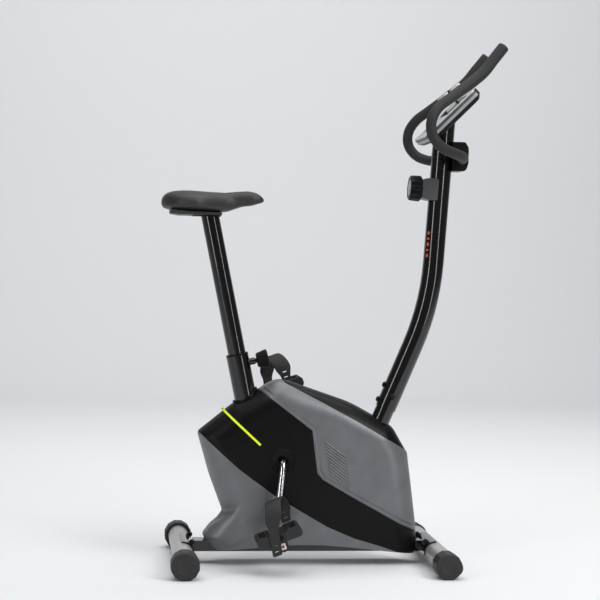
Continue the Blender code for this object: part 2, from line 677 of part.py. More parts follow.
def trimmed(side, line, first, last):
    """An edge line cut off at the outline, with a point wherever it crosses a line of skin points."""
    ends = [first[1], *line[1:-1], last[1]]
    dense = divided(ends, 0.0008)
    depths = side.depth(np.array(dense))
    kept = [dense[0]]
    for i in range(1, len(dense) - 1):
        crossed = any(
            (depths[i] - SHROUD_EDGE_DEPTH * s) * (depths[i + 1] - SHROUD_EDGE_DEPTH * s) <= 0 for s in SHROUD_RINGS
        )
        is_knot = any(math.dist(dense[i], knot) < 1e-6 for knot in ends)
        if is_knot and len(kept) > 1 and math.dist(dense[i], kept[-1]) < 0.002:
            kept.pop()
        if is_knot or (crossed and math.dist(dense[i], kept[-1]) > 0.002):
            kept.append(dense[i])
    if math.dist(dense[-1], kept[-1]) < 0.002:
        kept.pop()
    return [*kept, dense[-1]]


def triangulated(side, polygon, step):
    """Triangles that fill a polygon of the side plane, denser where the skin rounds over."""
    ring_points = []
    for share in SHROUD_RINGS:
        depth = SHROUD_EDGE_DEPTH * share
        for a, b in zip(side.starts, side.ends):
            run = b - a
            length = np.linalg.norm(run)
            if length < 1e-9:
                continue
            inward = np.array([-run[1], run[0]]) / length
            if not side.inside(((a + b) / 2 + inward * 1e-4)[None])[0]:
                inward = -inward
            count = max(1, round(length / step))
            ring_points += [a + run * (k + 0.5) / count + inward * depth for k in range(count)]
    xs, zs = np.arange(-0.31, 0.24, step), np.arange(0.03, 0.46, step)
    grid = np.array([(x + (row % 2) * step / 2, z) for row, z in enumerate(zs) for x in xs])
    ring_points = np.array(ring_points)
    depths = side.depth(ring_points)
    shares = np.min([np.abs(depths - SHROUD_EDGE_DEPTH * s) for s in SHROUD_RINGS], axis=0)
    ring_points = ring_points[(depths > 0) & (shares < 4e-4)]
    grid = grid[side.depth(grid) > SHROUD_EDGE_DEPTH * 0.95]
    chosen = []
    loop = np.array(polygon)
    for point in np.vstack([ring_points, grid]):
        if not inside_loop(point[None], loop)[0] or edge_distance(point, loop) < 0.0035:
            continue
        if all(abs(point[0] - c[0]) + abs(point[1] - c[1]) > 0.0045 for c in chosen):
            chosen.append(point)
    points = [Vector(p) for p in polygon] + [Vector(p) for p in chosen]
    edges = [(k, (k + 1) % len(polygon)) for k in range(len(polygon))]
    found, _, triangles = delaunay_2d_cdt(points, edges, [], 1, 1e-7)[:3]
    return np.array([tuple(v) for v in found]), [tuple(t) for t in triangles]


def edge_distance(point, loop):
    a, run = loop, np.roll(loop, -1, axis=0) - loop
    t = np.clip(((point - a) * run).sum(1) / np.maximum((run**2).sum(1), 1e-12), 0, 1)
    return np.linalg.norm(point - a - t[:, None] * run, axis=1).min()


def shell_tile(side, polygon, sign, step, seam_gap=TILE_GAP, open_seam=False):
    """A curved plate over one polygon of the side. open_seam leaves out the wall along the middle plane."""
    flat, triangles = triangulated(side, polygon, step)
    height, normal, depth = side.skin_and_normal(flat)
    seam = depth < 2e-5
    height = np.where(seam, 0.0, height)
    height = np.maximum(height, seam_gap)
    outer = np.stack([flat[:, 0], height, flat[:, 1]], axis=1)
    inner = outer - normal * SHROUD_WALL
    inner[:, 1] = np.maximum(inner[:, 1], seam_gap)
    count = len(flat)
    verts = np.vstack([outer, inner])
    verts[:, 1] *= sign
    faces = list(triangles) + [tuple(i + count for i in reversed(t)) for t in triangles]
    used = {}
    for t in triangles:
        for a, b in zip(t, t[1:] + t[:1]):
            used[(a, b)] = True
    for a, b in used:
        if (b, a) in used:
            continue
        if open_seam and seam[a] and seam[b]:
            continue
        faces.append((b, a, a + count, b + count))
    return [Vector(v) for v in verts], faces


def surface_along(side, start, direction, reach):
    """How far down a line a point first meets the shroud's skin."""
    low, high = 0.0, reach
    for _ in range(40):
        middle = (low + high) / 2
        p = start + direction * middle
        width = side.width(np.array([[p.x, p.z]]))[0]
        if side.inside(np.array([[p.x, p.z]]))[0] and width > abs(p.y):
            high = middle
        else:
            low = middle
    return low


def make_shroud():
    side = Side()
    outline = side.outline
    step = 0.024
    upper_left = line_shifted(UPPER_PANEL_EDGE, TILE_GAP)
    upper_right = line_shifted(UPPER_PANEL_EDGE, -TILE_GAP)
    spine_left = line_shifted(SPINE_EDGE, TILE_GAP)
    spine_right = line_shifted(SPINE_EDGE, -TILE_GAP)
    lower_left = line_shifted(LOWER_PANEL_EDGE, TILE_GAP)
    lower_right = line_shifted(LOWER_PANEL_EDGE, -TILE_GAP)

    def ends(line):
        return crossing(outline, line, False), crossing(outline, line, True)

    # The outline runs clockwise seen from the right: rear vertex, top, front, underside, fin.
    up_a, up_b = ends(upper_left)
    panel = divided(outline_between(outline, up_a, ends(spine_right)[0]), step)
    panel += divided(trimmed(side, spine_right, *ends(spine_right)), step)[1:]
    panel += divided(outline_between(outline, ends(spine_right)[1], up_b), step)[1:]
    panel += divided(trimmed(side, upper_left, up_a, up_b)[::-1], step)[1:-1]

    sp_a, sp_b = ends(spine_left)
    spine = divided(outline_between(outline, sp_a, sp_b), step)
    spine += divided(trimmed(side, spine_left, sp_a, sp_b)[::-1], step)[1:-1]

    ur_a, ur_b = ends(upper_right)
    lo_a, lo_b = ends(lower_left)
    band = divided(outline_between(outline, lo_a, ur_a), step)
    band += divided(trimmed(side, upper_right, ur_a, ur_b), step)[1:]
    band += divided(outline_between(outline, ur_b, lo_b), step)[1:]
    band += divided(trimmed(side, lower_left, lo_a, lo_b)[::-1], step)[1:-1]

    lr_a, lr_b = ends(lower_right)
    lower = divided(outline_between(outline, lr_b, lr_a), step)
    lower += divided(trimmed(side, lower_right, lr_a, lr_b), step)[1:-1]

    tiles = (("shroud", band, BLACK_PLASTIC), ("upper_panel", panel, GREY_PLASTIC), ("lower_panel", lower, GREY_PLASTIC))
    for name, polygon, finish in tiles:
        for word, sign in SIDES:
            tile = make(f"{name}_{word}", *shell_tile(side, polygon, sign, step), finish)
            if name != "upper_panel":
                combine(tile, beam_cutter())
            if name == "shroud":
                combine(tile, sleeve_cutter())
                combine(tile, crank_hole_cutter())
    make_spine(side, spine, step)
    make_seat_collar(side)
    make_crank_discs(side)


def beam_cutter():
    low = (-0.40, -BEAM_HALF_WIDTH - 0.0005, 0.0)
    high = (0.40, BEAM_HALF_WIDTH + 0.0005, BEAM_HIGH + 0.0005)
    return cutter("beam", *block(low, high))


def sleeve_cutter():
    start = SLEEVE_TOP - SEAT_UP * 0.40
    return cutter("sleeve", *rod(start, SEAT_UP, 0.50, around(SLEEVE_RADIUS + 0.0006, 20), 20))


def crank_hole_cutter():
    start = CRANK_CENTRE - Y_AXIS * 0.1
    return cutter("crank_hole", *rod(start, Y_AXIS, 0.2, 0.0300, 28, Z_AXIS))


def make_spine(side, polygon, step):
    """The black strip along the top, one piece over both sides, with the hole that the column stands in."""
    verts, faces = shell_tile(side, polygon, 1.0, step, seam_gap=0.0, open_seam=True)
    count = len(verts)
    mirrored = [Vector((v.x, -v.y, v.z)) for v in verts]
    flipped = [tuple(i + count for i in reversed(f)) for f in faces]
    spine = make("top_spine", verts + mirrored, list(faces) + flipped, BLACK_PLASTIC)
    bm = bmesh.new()
    bm.from_mesh(spine.data)
    bmesh.ops.remove_doubles(bm, verts=bm.verts, dist=1e-6)
    bmesh.ops.recalc_face_normals(bm, faces=bm.faces)
    bm.to_mesh(spine.data)
    bm.free()
    start = on_low_line(0.25)
    combine(spine, cutter("stub", *rod(start, COLUMN_LOW_UP, 0.5, around(STUB_RADIUS + 0.0008, 20), 20)))


def make_seat_collar(side):
    """A trim ring round the sleeve, its lower edge following the shroud."""
    segments = 24
    inner, outer = around(SLEEVE_RADIUS + GAP, segments), SLEEVE_RADIUS + 0.0055
    start = SLEEVE_TOP + SEAT_UP * 0.02
    u, v = frame_of(SEAT_UP)
    rings = [[], [], [], []]
    for k in range(segments):
        a = 2 * math.pi * k / segments
        way = u * math.cos(a) + v * math.sin(a)
        down = surface_along(side, start + way * outer, -SEAT_UP, 0.30)
        low = start - SEAT_UP * (down - 0.0018)
        rings[0].append(low + way * inner)
        rings[1].append(low + way * outer)
        rings[2].append(low + SEAT_UP * 0.0040 + way * (outer - 0.0008))
        rings[3].append(low + SEAT_UP * 0.0048 + way * inner)
    make("seat_collar", *join_rings(rings, loop=True), BLACK_PLASTIC)


def make_crank_discs(side):
    width = side.width(np.array([[CRANK_CENTRE.x, CRANK_CENTRE.z]]))[0]
    for word, sign in SIDES:
        base = CRANK_CENTRE + Y_AXIS * (sign * (width - 0.0035))
        profile = [(0, 0.0130), (0, 0.0297), (0.0030, 0.0297), (0.0045, 0.0280), (0.0030, 0.0130), (0, 0.0130)]
        make(f"crank_disc_{word}", *turned(base, Y_AXIS * sign, profile, 28, Z_AXIS), BLACK_PLASTIC)


# ---------------------------------------------------------------- drive
def crank_path(sign, down):
    """From inside the bracket shell out along the axle, round a bend and down the arm."""
    knots = [
        CRANK_CENTRE + Y_AXIS * sign * 0.060,
        CRANK_CENTRE + Y_AXIS * sign * 0.074,
        CRANK_CENTRE + Y_AXIS * sign * 0.0845 + down * 0.006,
        CRANK_CENTRE + Y_AXIS * sign * 0.0890 + down * 0.020,
        CRANK_CENTRE + Y_AXIS * sign * 0.0930 + down * 0.060,
        CRANK_CENTRE + Y_AXIS * sign * 0.0990 + down * 0.120,
        CRANK_CENTRE + Y_AXIS * sign * CRANK_ARM_Y + down * (CRANK_LENGTH - 0.004),
    ]
    return smooth_path(knots, 0.012)


def make_crank():
    right, left = crank_path(-1.0, ARM_DOWN), crank_path(1.0, -ARM_DOWN)
    path = right[::-1] + left
    rings = sweep_rings(path, [CRANK_BAR_RADIUS] * len(path), 12, X_AXIS)
    crank = make("crank", *join_rings(rings), CHROME)
    for sign, down in ((-1.0, ARM_DOWN), (1.0, -ARM_DOWN)):
        eye = CRANK_CENTRE + down * CRANK_LENGTH + Y_AXIS * sign * (CRANK_ARM_Y - 0.008)
        combine(crank, cutter("eye", *rod(eye, Y_AXIS * sign, 0.0155, 0.0115, 16)), "UNION")
        spindle = rod(eye, Y_AXIS * sign, PEDAL_INNER_Y + PEDAL_WIDTH - CRANK_ARM_Y - 0.002, SPINDLE_RADIUS, 12)
        combine(crank, cutter("spindle", *spindle), "UNION")


def make_pulleys():
    start = CRANK_CENTRE + Y_AXIS * BELT_Y[0]
    width = BELT_Y[1] - BELT_Y[0]
    bore = around(CRANK_BAR_RADIUS + GAP, 12)
    rim = DRIVE_PULLEY_RADIUS
    profile = [
        (0, bore), (0, 0.016), (0.004, 0.016), (0.004, rim - 0.008), (0, rim - 0.008), (0, rim), (width, rim),
        (width, rim - 0.008), (0.008, rim - 0.008), (0.008, 0.016), (width, 0.016), (width, bore), (0, bore),
    ]
    make("drive_pulley", *turned(start, Y_AXIS, profile, 32, X_AXIS), BLACK_PLASTIC)

    axle_start = FLYWHEEL_CENTRE + Y_AXIS * (BELT_Y[0] - 0.004)
    make("flywheel_axle", *rod(axle_start, Y_AXIS, FLYWHEEL_Y[1] + 0.004 - axle_start.y, AXLE_RADIUS, 16), STEEL)
    small_start = FLYWHEEL_CENTRE + Y_AXIS * BELT_Y[0]
    small = hollow(small_start, Y_AXIS, width, SMALL_PULLEY_RADIUS, AXLE_RADIUS + GAP, 24, X_AXIS)
    make("flywheel_pulley", *small, STEEL)

    rim = FLYWHEEL_RADIUS
    thick = FLYWHEEL_Y[1] - FLYWHEEL_Y[0]
    bore = around(AXLE_RADIUS + GAP, 16)
    profile = [
        (0, bore), (0, 0.020), (0.005, 0.024), (0.005, rim - 0.030), (0, rim - 0.028), (0, rim), (thick, rim),
        (thick, rim - 0.028), (thick - 0.005, rim - 0.030), (thick - 0.005, 0.024), (thick, 0.020), (thick, bore),
        (0, bore),
    ]
    wheel_start = FLYWHEEL_CENTRE + Y_AXIS * FLYWHEEL_Y[0]
    make("flywheel", *turned(wheel_start, Y_AXIS, profile, 32, X_AXIS), STEEL)


def lower_run():
    """The belt's lower straight: the two points where it leaves the pulleys."""
    a, b = CRANK_CENTRE, FLYWHEEL_CENTRE
    line = Vector((b.x - a.x, b.z - a.z))
    lean = math.asin((DRIVE_PULLEY_RADIUS - SMALL_PULLEY_RADIUS) / line.length)
    heading = math.atan2(line.y, line.x)
    down = heading - math.pi / 2 + lean
    up = heading + math.pi / 2 - lean
    return down, up


def idler_centre():
    down, _ = lower_run()
    normal = Vector((math.cos(down), 0, math.sin(down)))
    start = CRANK_CENTRE + normal * (around(DRIVE_PULLEY_RADIUS, 32) + GAP + BELT_THICK + IDLER_RADIUS + 0.0012)
    along = Vector((-math.sin(down), 0, math.cos(down)))
    return start + along * ((IDLER_X - start.x) / along.x)


def make_belt_and_idler():
    down, up = lower_run()
    outer, inner = [], []
    small_radius, big_radius = around(SMALL_PULLEY_RADIUS, 24) + GAP, around(DRIVE_PULLEY_RADIUS, 32) + GAP
    spans = ((FLYWHEEL_CENTRE, small_radius, down, up, 8), (CRANK_CENTRE, big_radius, up, down + 2 * math.pi, 22))
    for centre, radius, start, end, steps in spans:
        clear = radius / math.cos(abs(end - start) / steps / 2)
        for k in range(steps + 1):
            a = start + (end - start) * k / steps
            inner.append((centre.x + clear * math.cos(a), centre.z + clear * math.sin(a)))
            thick = clear + BELT_THICK
            outer.append((centre.x + thick * math.cos(a), centre.z + thick * math.sin(a)))
    rings = [
        [Vector((x, y, z)) for x, z in loop]
        for loop, y in ((inner, BELT_Y[0]), (outer, BELT_Y[0]), (outer, BELT_Y[1]), (inner, BELT_Y[1]))
    ]
    make("drive_belt", *join_rings(rings, loop=True), RUBBER)

    centre = idler_centre()
    width = BELT_Y[1] - BELT_Y[0]
    pulley = hollow(centre + Y_AXIS * BELT_Y[0], Y_AXIS, width, IDLER_RADIUS, 0.0042, 20, X_AXIS)
    make("idler_pulley", *pulley, BLACK_PLASTIC)
    pivot = Vector((ARM_PIVOT.x, 0, ARM_PIVOT.z))
    arm = strap_between(pivot, centre, 0.009, BELT_Y[1] + 0.002, BELT_Y[1] + 0.007)
    arm = make("idler_arm", *arm, STEEL)
    pin = rod(centre + Y_AXIS * (BELT_Y[0] - 0.002), Y_AXIS, 0.0185, 0.0039, 12)
    combine(arm, cutter("idler_pin", *pin), "UNION")
    combine(arm, cutter("pivot_bore", *rod(pivot - Y_AXIS * 0.06, Y_AXIS, 0.12, around(0.0053, 16), 16)))


def strap_between(a, b, radius, y_from, y_to):
    """A flat link with round ends."""
    run = b - a
    heading = math.degrees(math.atan2(run.z, run.x))
    outline = arc(a.x, a.z, radius, heading + 90, heading + 270, 8) + arc(b.x, b.z, radius, heading - 90, heading + 90, 8)
    return extruded(outline, y_from, y_to)


def make_magnet_arm():
    """The brake shoe: a bar with magnets that follows the flywheel's rim."""
    near = around(FLYWHEEL_RADIUS, 32) + 0.003
    inner = arc(FLYWHEEL_CENTRE.x, FLYWHEEL_CENTRE.z, near, 132, 205, 12)
    outer = arc(FLYWHEEL_CENTRE.x, FLYWHEEL_CENTRE.z, near + 0.014, 205, 132, 12)
    y_from, y_to = FLYWHEEL_Y[0] - 0.004, FLYWHEEL_Y[1] + 0.002
    arm = make("magnet_arm", *extruded(inner + outer, y_from, y_to), STEEL)
    eye = rod(ARM_PIVOT + Y_AXIS * 0.018, Y_AXIS, 0.024, 0.011, 20)
    combine(arm, cutter("eye", *eye), "UNION")
    link_end = Vector((outer[1][0] + 0.004, 0, outer[1][1]))
    link = strap_between(ARM_PIVOT, link_end, 0.008, 0.018, 0.034)
    combine(arm, cutter("link", *link), "UNION")
    combine(arm, cutter("rim", *rod(FLYWHEEL_CENTRE, Y_AXIS, 0.08, near, 32, X_AXIS)))
    combine(arm, cutter("pivot_bore", *rod(ARM_PIVOT - Y_AXIS * 0.06, Y_AXIS, 0.12, around(0.0053, 16), 16)))


# ---------------------------------------------------------------- pedals
def pedal_matrix(sign):
    """Pedal space: X along the foot, Y outwards from the crank, Z up; origin on the spindle."""
    down = ARM_DOWN if sign < 0 else -ARM_DOWN
    place = CRANK_CENTRE + down * CRANK_LENGTH + Y_AXIS * sign * PEDAL_INNER_Y
    mirror = Matrix.Diagonal((1, sign, 1, 1))
    return Matrix.Translation(place) @ Matrix.Rotation(-PEDAL_TILT, 4, "Y") @ mirror


def make_pedals():
    for word, sign in SIDES:
        to_world = pedal_matrix(sign)
        long, thick = PEDAL_HALF_LENGTH, PEDAL_HALF_THICK
        corners = [
            (-long, -thick, 0.009), (-long, thick, 0.009), (-0.022, thick, 0.006), (-0.016, thick * 0.62, 0.006),
            (0.016, thick * 0.62, 0.006), (0.022, thick, 0.006), (long, thick, 0.009), (long, -thick, 0.009),
        ]
        body = make(f"pedal_{word}", *extruded(rounded_outline(corners, 30.0), 0.0, PEDAL_WIDTH, to_world), RUBBER)
        tab = rounded_outline([(-0.012, -0.036, 0.011), (-0.009, 0.0, 0.002), (0.013, 0.0, 0.002), (0.014, -0.036, 0.011)], 30.0)
        combine(body, cutter("tab", *extruded(tab, PEDAL_WIDTH - 0.017, PEDAL_WIDTH - 0.0035, to_world)), "UNION")
        for x in (-0.033, 0.033):
            window = block((x - 0.011, 0.014, -0.02), (x + 0.011, PEDAL_WIDTH - 0.014, 0.02), to_world)
            combine(body, cutter("window", *window))
        start = to_world @ Vector((0, -0.01, 0))
        combine(body, cutter("spindle_bore", *rod(start, Y_AXIS * sign, 0.12, around(SPINDLE_RADIUS + GAP, 12), 12)))
        make_strap(word, to_world)


def make_strap(word, to_world):
    """The rubber foot strap: up from a tail below the outer edge, slantwise over the foot, down to the inner edge."""
    thick = 0.0035
    outer_y, inner_y = PEDAL_WIDTH + thick / 2 + GAP, -thick / 2 - GAP
    lean = STRAP_LEAN[word]
    knots = [
        (-0.0230, outer_y, -0.038), (-0.0180, outer_y, -0.010), (-0.0150, outer_y, 0.012),
        (-0.0090, outer_y + 0.001, 0.036), (0.0000, outer_y - 0.006, 0.062), (0.0080, PEDAL_WIDTH * 0.70, 0.080),
        (0.0180, PEDAL_WIDTH * 0.32, 0.079), (0.0265, inner_y + 0.007, 0.060), (0.0285, inner_y - 0.001, 0.036),
        (0.0270, inner_y, 0.014),
    ]
    path = smooth_path([Vector((x + lean, y, z)) for x, y, z in knots], 0.013)
    dirs = tangents(path)
    rings = []
    for point, d in zip(path, dirs):
        out = Vector((0, d.z, -d.y)).normalized()
        rise = min(1.0, max(0.0, (point.z - 0.022) / 0.030))
        half = 0.0120 + 0.0080 * rise * rise * (3 - 2 * rise)
        rings.append([
            to_world @ (point + X_AXIS * a + out * b)
            for a, b in ((-half, -thick / 2), (half, -thick / 2), (half, thick / 2), (-half, thick / 2))
        ])
    make(f"pedal_strap_{word}", *join_rings(rings), RUBBER)


# ---------------------------------------------------------------- seat
def seat_knob_base():
    """Where the knob's stud meets the sleeve's front."""
    return SLEEVE_TOP - SEAT_UP * 0.0215 + SEAT_FORWARD * SLEEVE_RADIUS


def make_seat():
    up, length = SEAT_UP, (POST_TOP_Z - SLEEVE_TOP.z) / SEAT_UP.z + POST_INSERTION
    start = SLEEVE_TOP - up * POST_INSERTION
    segments = COLUMN_SEGMENTS
    pipe = hollow(start, up, length + 0.006, POST_RADIUS, POST_RADIUS - POST_WALL, segments)
    post = make("seat_post", *pipe, BLACK_PAINT)
    top = start + up * length
    combine(post, cutter("level", *block((-0.05, -0.05, 0.001), (0.05, 0.05, 0.03), Matrix.Translation(top))))
    plate = cutter("plate", *block((-0.045, -0.030, 0.0), (0.024, 0.030, 0.003), Matrix.Translation(top)))
    combine(post, plate, "UNION")
    vent = rod(top - Z_AXIS * 0.02, Z_AXIS, 0.04, 0.005, 12)
    combine(post, cutter("vent", *vent))
    for k in range(6):
        hole_at = SLEEVE_TOP - up * (0.0215 - 0.020 + 0.024 * (k - 1)) + SEAT_FORWARD * (POST_RADIUS - 0.004)
        combine(post, cutter("height_hole", *rod(hole_at, SEAT_FORWARD, 0.01, 0.0045, 12)))

    low = SLEEVE_TOP - up * 0.110
    bore, skirt, lip = around(POST_RADIUS + GAP, 24), SLEEVE_BORE - GAP, SLEEVE_RADIUS
    profile = [
        (0, bore), (0, skirt), (0.110 + GAP, skirt), (0.110 + GAP, lip), (0.1135, lip), (0.1145, lip - 0.002),
        (0.1145, bore), (0, bore),
    ]
    bush = make("seat_post_bushing", *turned(low, up, profile, 24), BLACK_PLASTIC)
    hole = rod(seat_knob_base() - SEAT_FORWARD * 0.020, SEAT_FORWARD, 0.030, around(0.0063, 12), 12)
    combine(bush, cutter("knob_hole", *hole))
    make_seat_knob()
    make_saddle(top.z + 0.003)


def make_seat_knob():
    """A pull knob whose pin runs in the threaded boss on the sleeve."""
    base = seat_knob_base()
    tip = POST_RADIUS + GAP - SLEEVE_RADIUS
    profile = [
        (tip, 0.0038), (-0.0010, 0.0038), (0.0, 0.0058), (0.0175, 0.0058), (0.0175, 0.0165), (0.0200, 0.0180),
        (0.0425, 0.0232), (0.0455, 0.0215), (0.0465, 0.0100),
    ]
    make("seat_knob", *turned(base, SEAT_FORWARD, profile, 20), BLACK_PLASTIC)


def saddle_half_width(t):
    """Half the saddle's width, from tail (0) to nose (1): broad wings that sweep in to a narrow nose."""
    wing = 0.092 * math.sqrt(max(0.0, 1 - ((0.30 - t) / 0.302) ** 2)) if t < 0.30 else 0.0
    if t < 0.30:
        return wing
    blend = (t - 0.30) / 0.70
    sweep = 0.5 + 0.5 * math.cos(math.pi * min(1.0, blend / 0.62))
    nose = 0.026 * math.sqrt(max(0.0, 1 - max(0.0, (blend - 0.80) / 0.2002) ** 2))
    return max(nose, 0.092 * sweep + nose * (1 - sweep))


def curve_at(knots, x):
    """A smooth height through (x, z) knots."""
    for (x0, z0), (x1, z1) in zip(knots, knots[1:]):
        if x <= x1:
            t = max(0.0, (x - x0) / (x1 - x0))
            t = t * t * (3 - 2 * t)
            return z0 + (z1 - z0) * t
    return knots[-1][1]


SADDLE_TOP = [
    (-0.416, 0.876), (-0.398, 0.9035), (-0.372, 0.9135), (-0.276, 0.9095), (-0.200, 0.9160), (-0.180, 0.9110),
    (-0.160, 0.8925),
]
SADDLE_UNDER = [(-0.416, 0.8685), (-0.3450, 0.8605), (-0.2650, 0.8605), (-0.2060, 0.8770), (-0.160, 0.8860)]


def make_saddle(post_top):
    stations = [0.004, 0.03, 0.09, 0.18, 0.28, 0.38, 0.48, 0.58, 0.70, 0.82, 0.92, 0.975, 0.996]
    cushion, pan = [], []
    length = SADDLE_NOSE_X - SADDLE_TAIL_X
    for t in stations:
        x = SADDLE_TAIL_X + length * t
        half, top, under = saddle_half_width(t), curve_at(SADDLE_TOP, x), curve_at(SADDLE_UNDER, x)
        section = [(-half, under), (half, under)]
        for k in range(9):
            a = math.pi * k / 8
            section.append((half * math.cos(a), under + 0.006 + (top - under - 0.006) * math.sin(a) ** 0.7))
        cushion.append([Vector((x, y, z)) for y, z in section])
    make("saddle", *join_rings(cushion), VINYL)
    for t in stations[2:8]:
        x = SADDLE_TAIL_X + length * t
        half, top = saddle_half_width(t) - 0.008, curve_at(SADDLE_UNDER, x) - GAP * 2
        low = min(top - 0.004, max(post_top + GAP, top - 0.010))
        section = [(-half, top), (half, top), (half * 0.90, low), (-half * 0.90, low)]
        pan.append([Vector((x, y, z)) for y, z in section])
    make("saddle_pan", *join_rings(pan), BLACK_PLASTIC)


# ---------------------------------------------------------------- handlebar
def bar_path(sign):
    """One half of the handlebar, from the clamp out round the loop and up to the tip."""
    knots = [
        (0.3225, 0.036, 1.004), (0.3200, 0.066, 1.005), (0.3070, 0.104, 1.007), (0.2790, 0.139, 1.012),
        (0.2450, 0.162, 1.024), (0.2240, 0.171, 1.045), (0.2165, 0.173, 1.070), (0.2214, 0.170, 1.096),
        (0.2384, 0.160, 1.120), (0.2645, 0.147, 1.140), (0.2997, 0.130, 1.166), (0.3336, 0.116, 1.192),
        (0.3588, 0.107, 1.2145), (0.3810, 0.100, 1.243), (0.4060, 0.0945, 1.2745),
    ]
    ahead, down = BAR_SET if sign > 0 else (0.0, 0.0)
    placed = [Vector((x + (y - 0.036) * ahead, sign * y, z - (y - 0.036) * down)) for x, y, z in knots]
    return smooth_path(placed, 0.024)


def foam_radius(share):
    """Thin foam round the loops, thicker towards the tips."""
    return FOAM_LOOP_RADIUS + (FOAM_TIP_RADIUS - FOAM_LOOP_RADIUS) * min(1.0, max(0.0, (share - 0.58) / 0.22))


def make_handlebar():
    segments = 12
    right, left = bar_path(-1.0), bar_path(1.0)
    straight = [BAR_CENTRE - Y_AXIS * 0.030, BAR_CENTRE + Y_AXIS * 0.030]
    path = right[::-1] + straight + left
    outer = sweep_rings(path, [BAR_RADIUS] * len(path), segments, X_AXIS)
    inner = sweep_rings(path, [BAR_RADIUS - BAR_WALL] * len(path), segments, X_AXIS)
    make("handlebar", *join_rings(outer + inner[::-1], loop=True), BLACK_PAINT)
    for word, half in (("right", right), ("left", left)):
        shares = [i / (len(half) - 1) for i in range(len(half))]
        tip_way = (half[-1] - half[-2]).normalized()
        outer = sweep_rings(half, [foam_radius(s) for s in shares], segments, X_AXIS)
        inner = sweep_rings(half, [around(BAR_RADIUS + GAP, segments)] * len(half), segments, X_AXIS)
        cap_at = half[-1] + tip_way * 0.003
        outer += [ring_like(outer[-1], half[-1], cap_at, 1.0), ring_like(outer[-1], half[-1], cap_at + tip_way * 0.004, 0.6)]
        inner.append(ring_like(inner[-1], half[-1], half[-1] + tip_way * GAP, 1.0))
        count = segments
        verts, faces = join_rings(outer + inner[::-1], closed_ends=False)
        last_outer, first_inner = len(outer) - 1, len(outer)
        faces = [f for f in faces if not (min(f) < (last_outer + 1) * count <= max(f))]
        faces.append(tuple(last_outer * count + k for k in range(count)))
        faces.append(tuple(first_inner * count + k for k in range(count)))
        mouth = (len(outer) + len(inner) - 1) * count
        faces += [(k, (k + 1) % count, mouth + (k + 1) % count, mouth + k) for k in range(count)]
        make(f"foam_grip_{word}", verts, faces, FOAM)
        make_pulse_sensor(word, half, shares)


def ring_like(points, centre, new_centre, scale):
    return [new_centre + (p - centre) * scale for p in points]


def make_pulse_sensor(word, half, shares):
    """A thin metal plate over the inner side of the grip's straight part."""
    sign = 1.0 if word == "left" else -1.0
    chosen = [i for i, s in enumerate(shares) if 0.66 <= s <= 0.84]
    dirs = tangents(half)
    rings = []
    for i in chosen:
        d = dirs[i]
        u = (Vector((0, -sign, 0)) - d * d.dot(Vector((0, -sign, 0)))).normalized()
        v = d.cross(u)
        low, high = foam_radius(shares[i]) + GAP, foam_radius(shares[i]) + 0.0014
        angles = [math.radians(a) for a in (-68, -45, -22, 0, 22, 45, 68)]
        inside = [half[i] + (u * math.cos(a) + v * math.sin(a)) * around(low, 12) for a in angles]
        outside = [half[i] + (u * math.cos(a) + v * math.sin(a)) * (around(high, 12)) for a in reversed(angles)]
        rings.append(inside + outside)
    make(f"pulse_sensor_{word}", *join_rings(rings), STEEL)


def make_clamp():
    """The cover in front of the column that holds the bar's middle."""
    low_z, high_z = 0.9755, 1.0475
    back = on_high_line(low_z).x + COLUMN_RADIUS * 0.86
    corners = [
        (back, low_z, 0.002), (BAR_CENTRE.x + 0.012, low_z, 0.010), (BAR_CENTRE.x + 0.0185, low_z + 0.020, 0.012),
        (BAR_CENTRE.x + 0.0185, high_z - 0.014, 0.012), (BAR_CENTRE.x + 0.010, high_z, 0.006), (back, high_z, 0.002),
    ]
    clamp = make("handlebar_clamp", *extruded(rounded_outline(corners, 30.0), -0.029, 0.029), BLACK_PLASTIC)
    bore = rod(BAR_CENTRE - Y_AXIS * 0.05, Y_AXIS, 0.1, around(BAR_RADIUS + GAP, 12), 12, X_AXIS)
    combine(clamp, cutter("bar_bore", *bore))
    column = rod(on_high_line(0.95), COLUMN_HIGH_UP, 0.12, around(COLUMN_RADIUS + GAP, COLUMN_SEGMENTS), COLUMN_SEGMENTS)
    combine(clamp, cutter("column", *column))


# ---------------------------------------------------------------- tension knob and cable
def make_tension_control():
    out = -column_out()
    centre = on_high_line(KNOB_Z)
    to_world = Matrix.Translation(centre) @ Matrix.Rotation(COLUMN_HIGH_TILT, 4, "Y")
    housing = make(
        "tension_knob_housing",
        *extruded(
            rounded_outline(
                [(-0.0470, -0.024, 0.008), (-0.0470, 0.024, 0.008), (-0.0300, 0.0270, 0.010), (-0.0080, 0.0270, 0.004),
                 (-0.0080, -0.0270, 0.004), (-0.0300, -0.0270, 0.010)], 30.0),
            -0.0285, 0.0285, to_world),
        BLACK_PLASTIC,
    )
    column_clear = rod(on_high_line(KNOB_Z - 0.06), COLUMN_HIGH_UP, 0.12, around(COLUMN_RADIUS + GAP, 20), 20)
    combine(housing, cutter("column", *column_clear))
    combine(housing, cutter("cable_hole", *rod(centre + out * 0.02, out, 0.05, around(0.0036, 12), 12)))
    teeth = 12
    start = centre + out * 0.0474
    rings = []
    for s, share in ((0.0, 0.93), (0.003, 1.0), (0.024, 0.97), (0.029, 0.90)):
        u, v = frame_of(out)
        points = []
        for k in range(teeth * 4):
            a = 2 * math.pi * k / (teeth * 4)
            r = KNOB_RADIUS * share * (1.0 - 0.07 * (k % 4 == 2) - 0.045 * (k % 2))
            points.append(start + out * s + (u * math.cos(a) + v * math.sin(a)) * r)
        rings.append(points)
    make("tension_knob", *join_rings(rings), BLACK_PLASTIC)
    make_cable(centre, out)


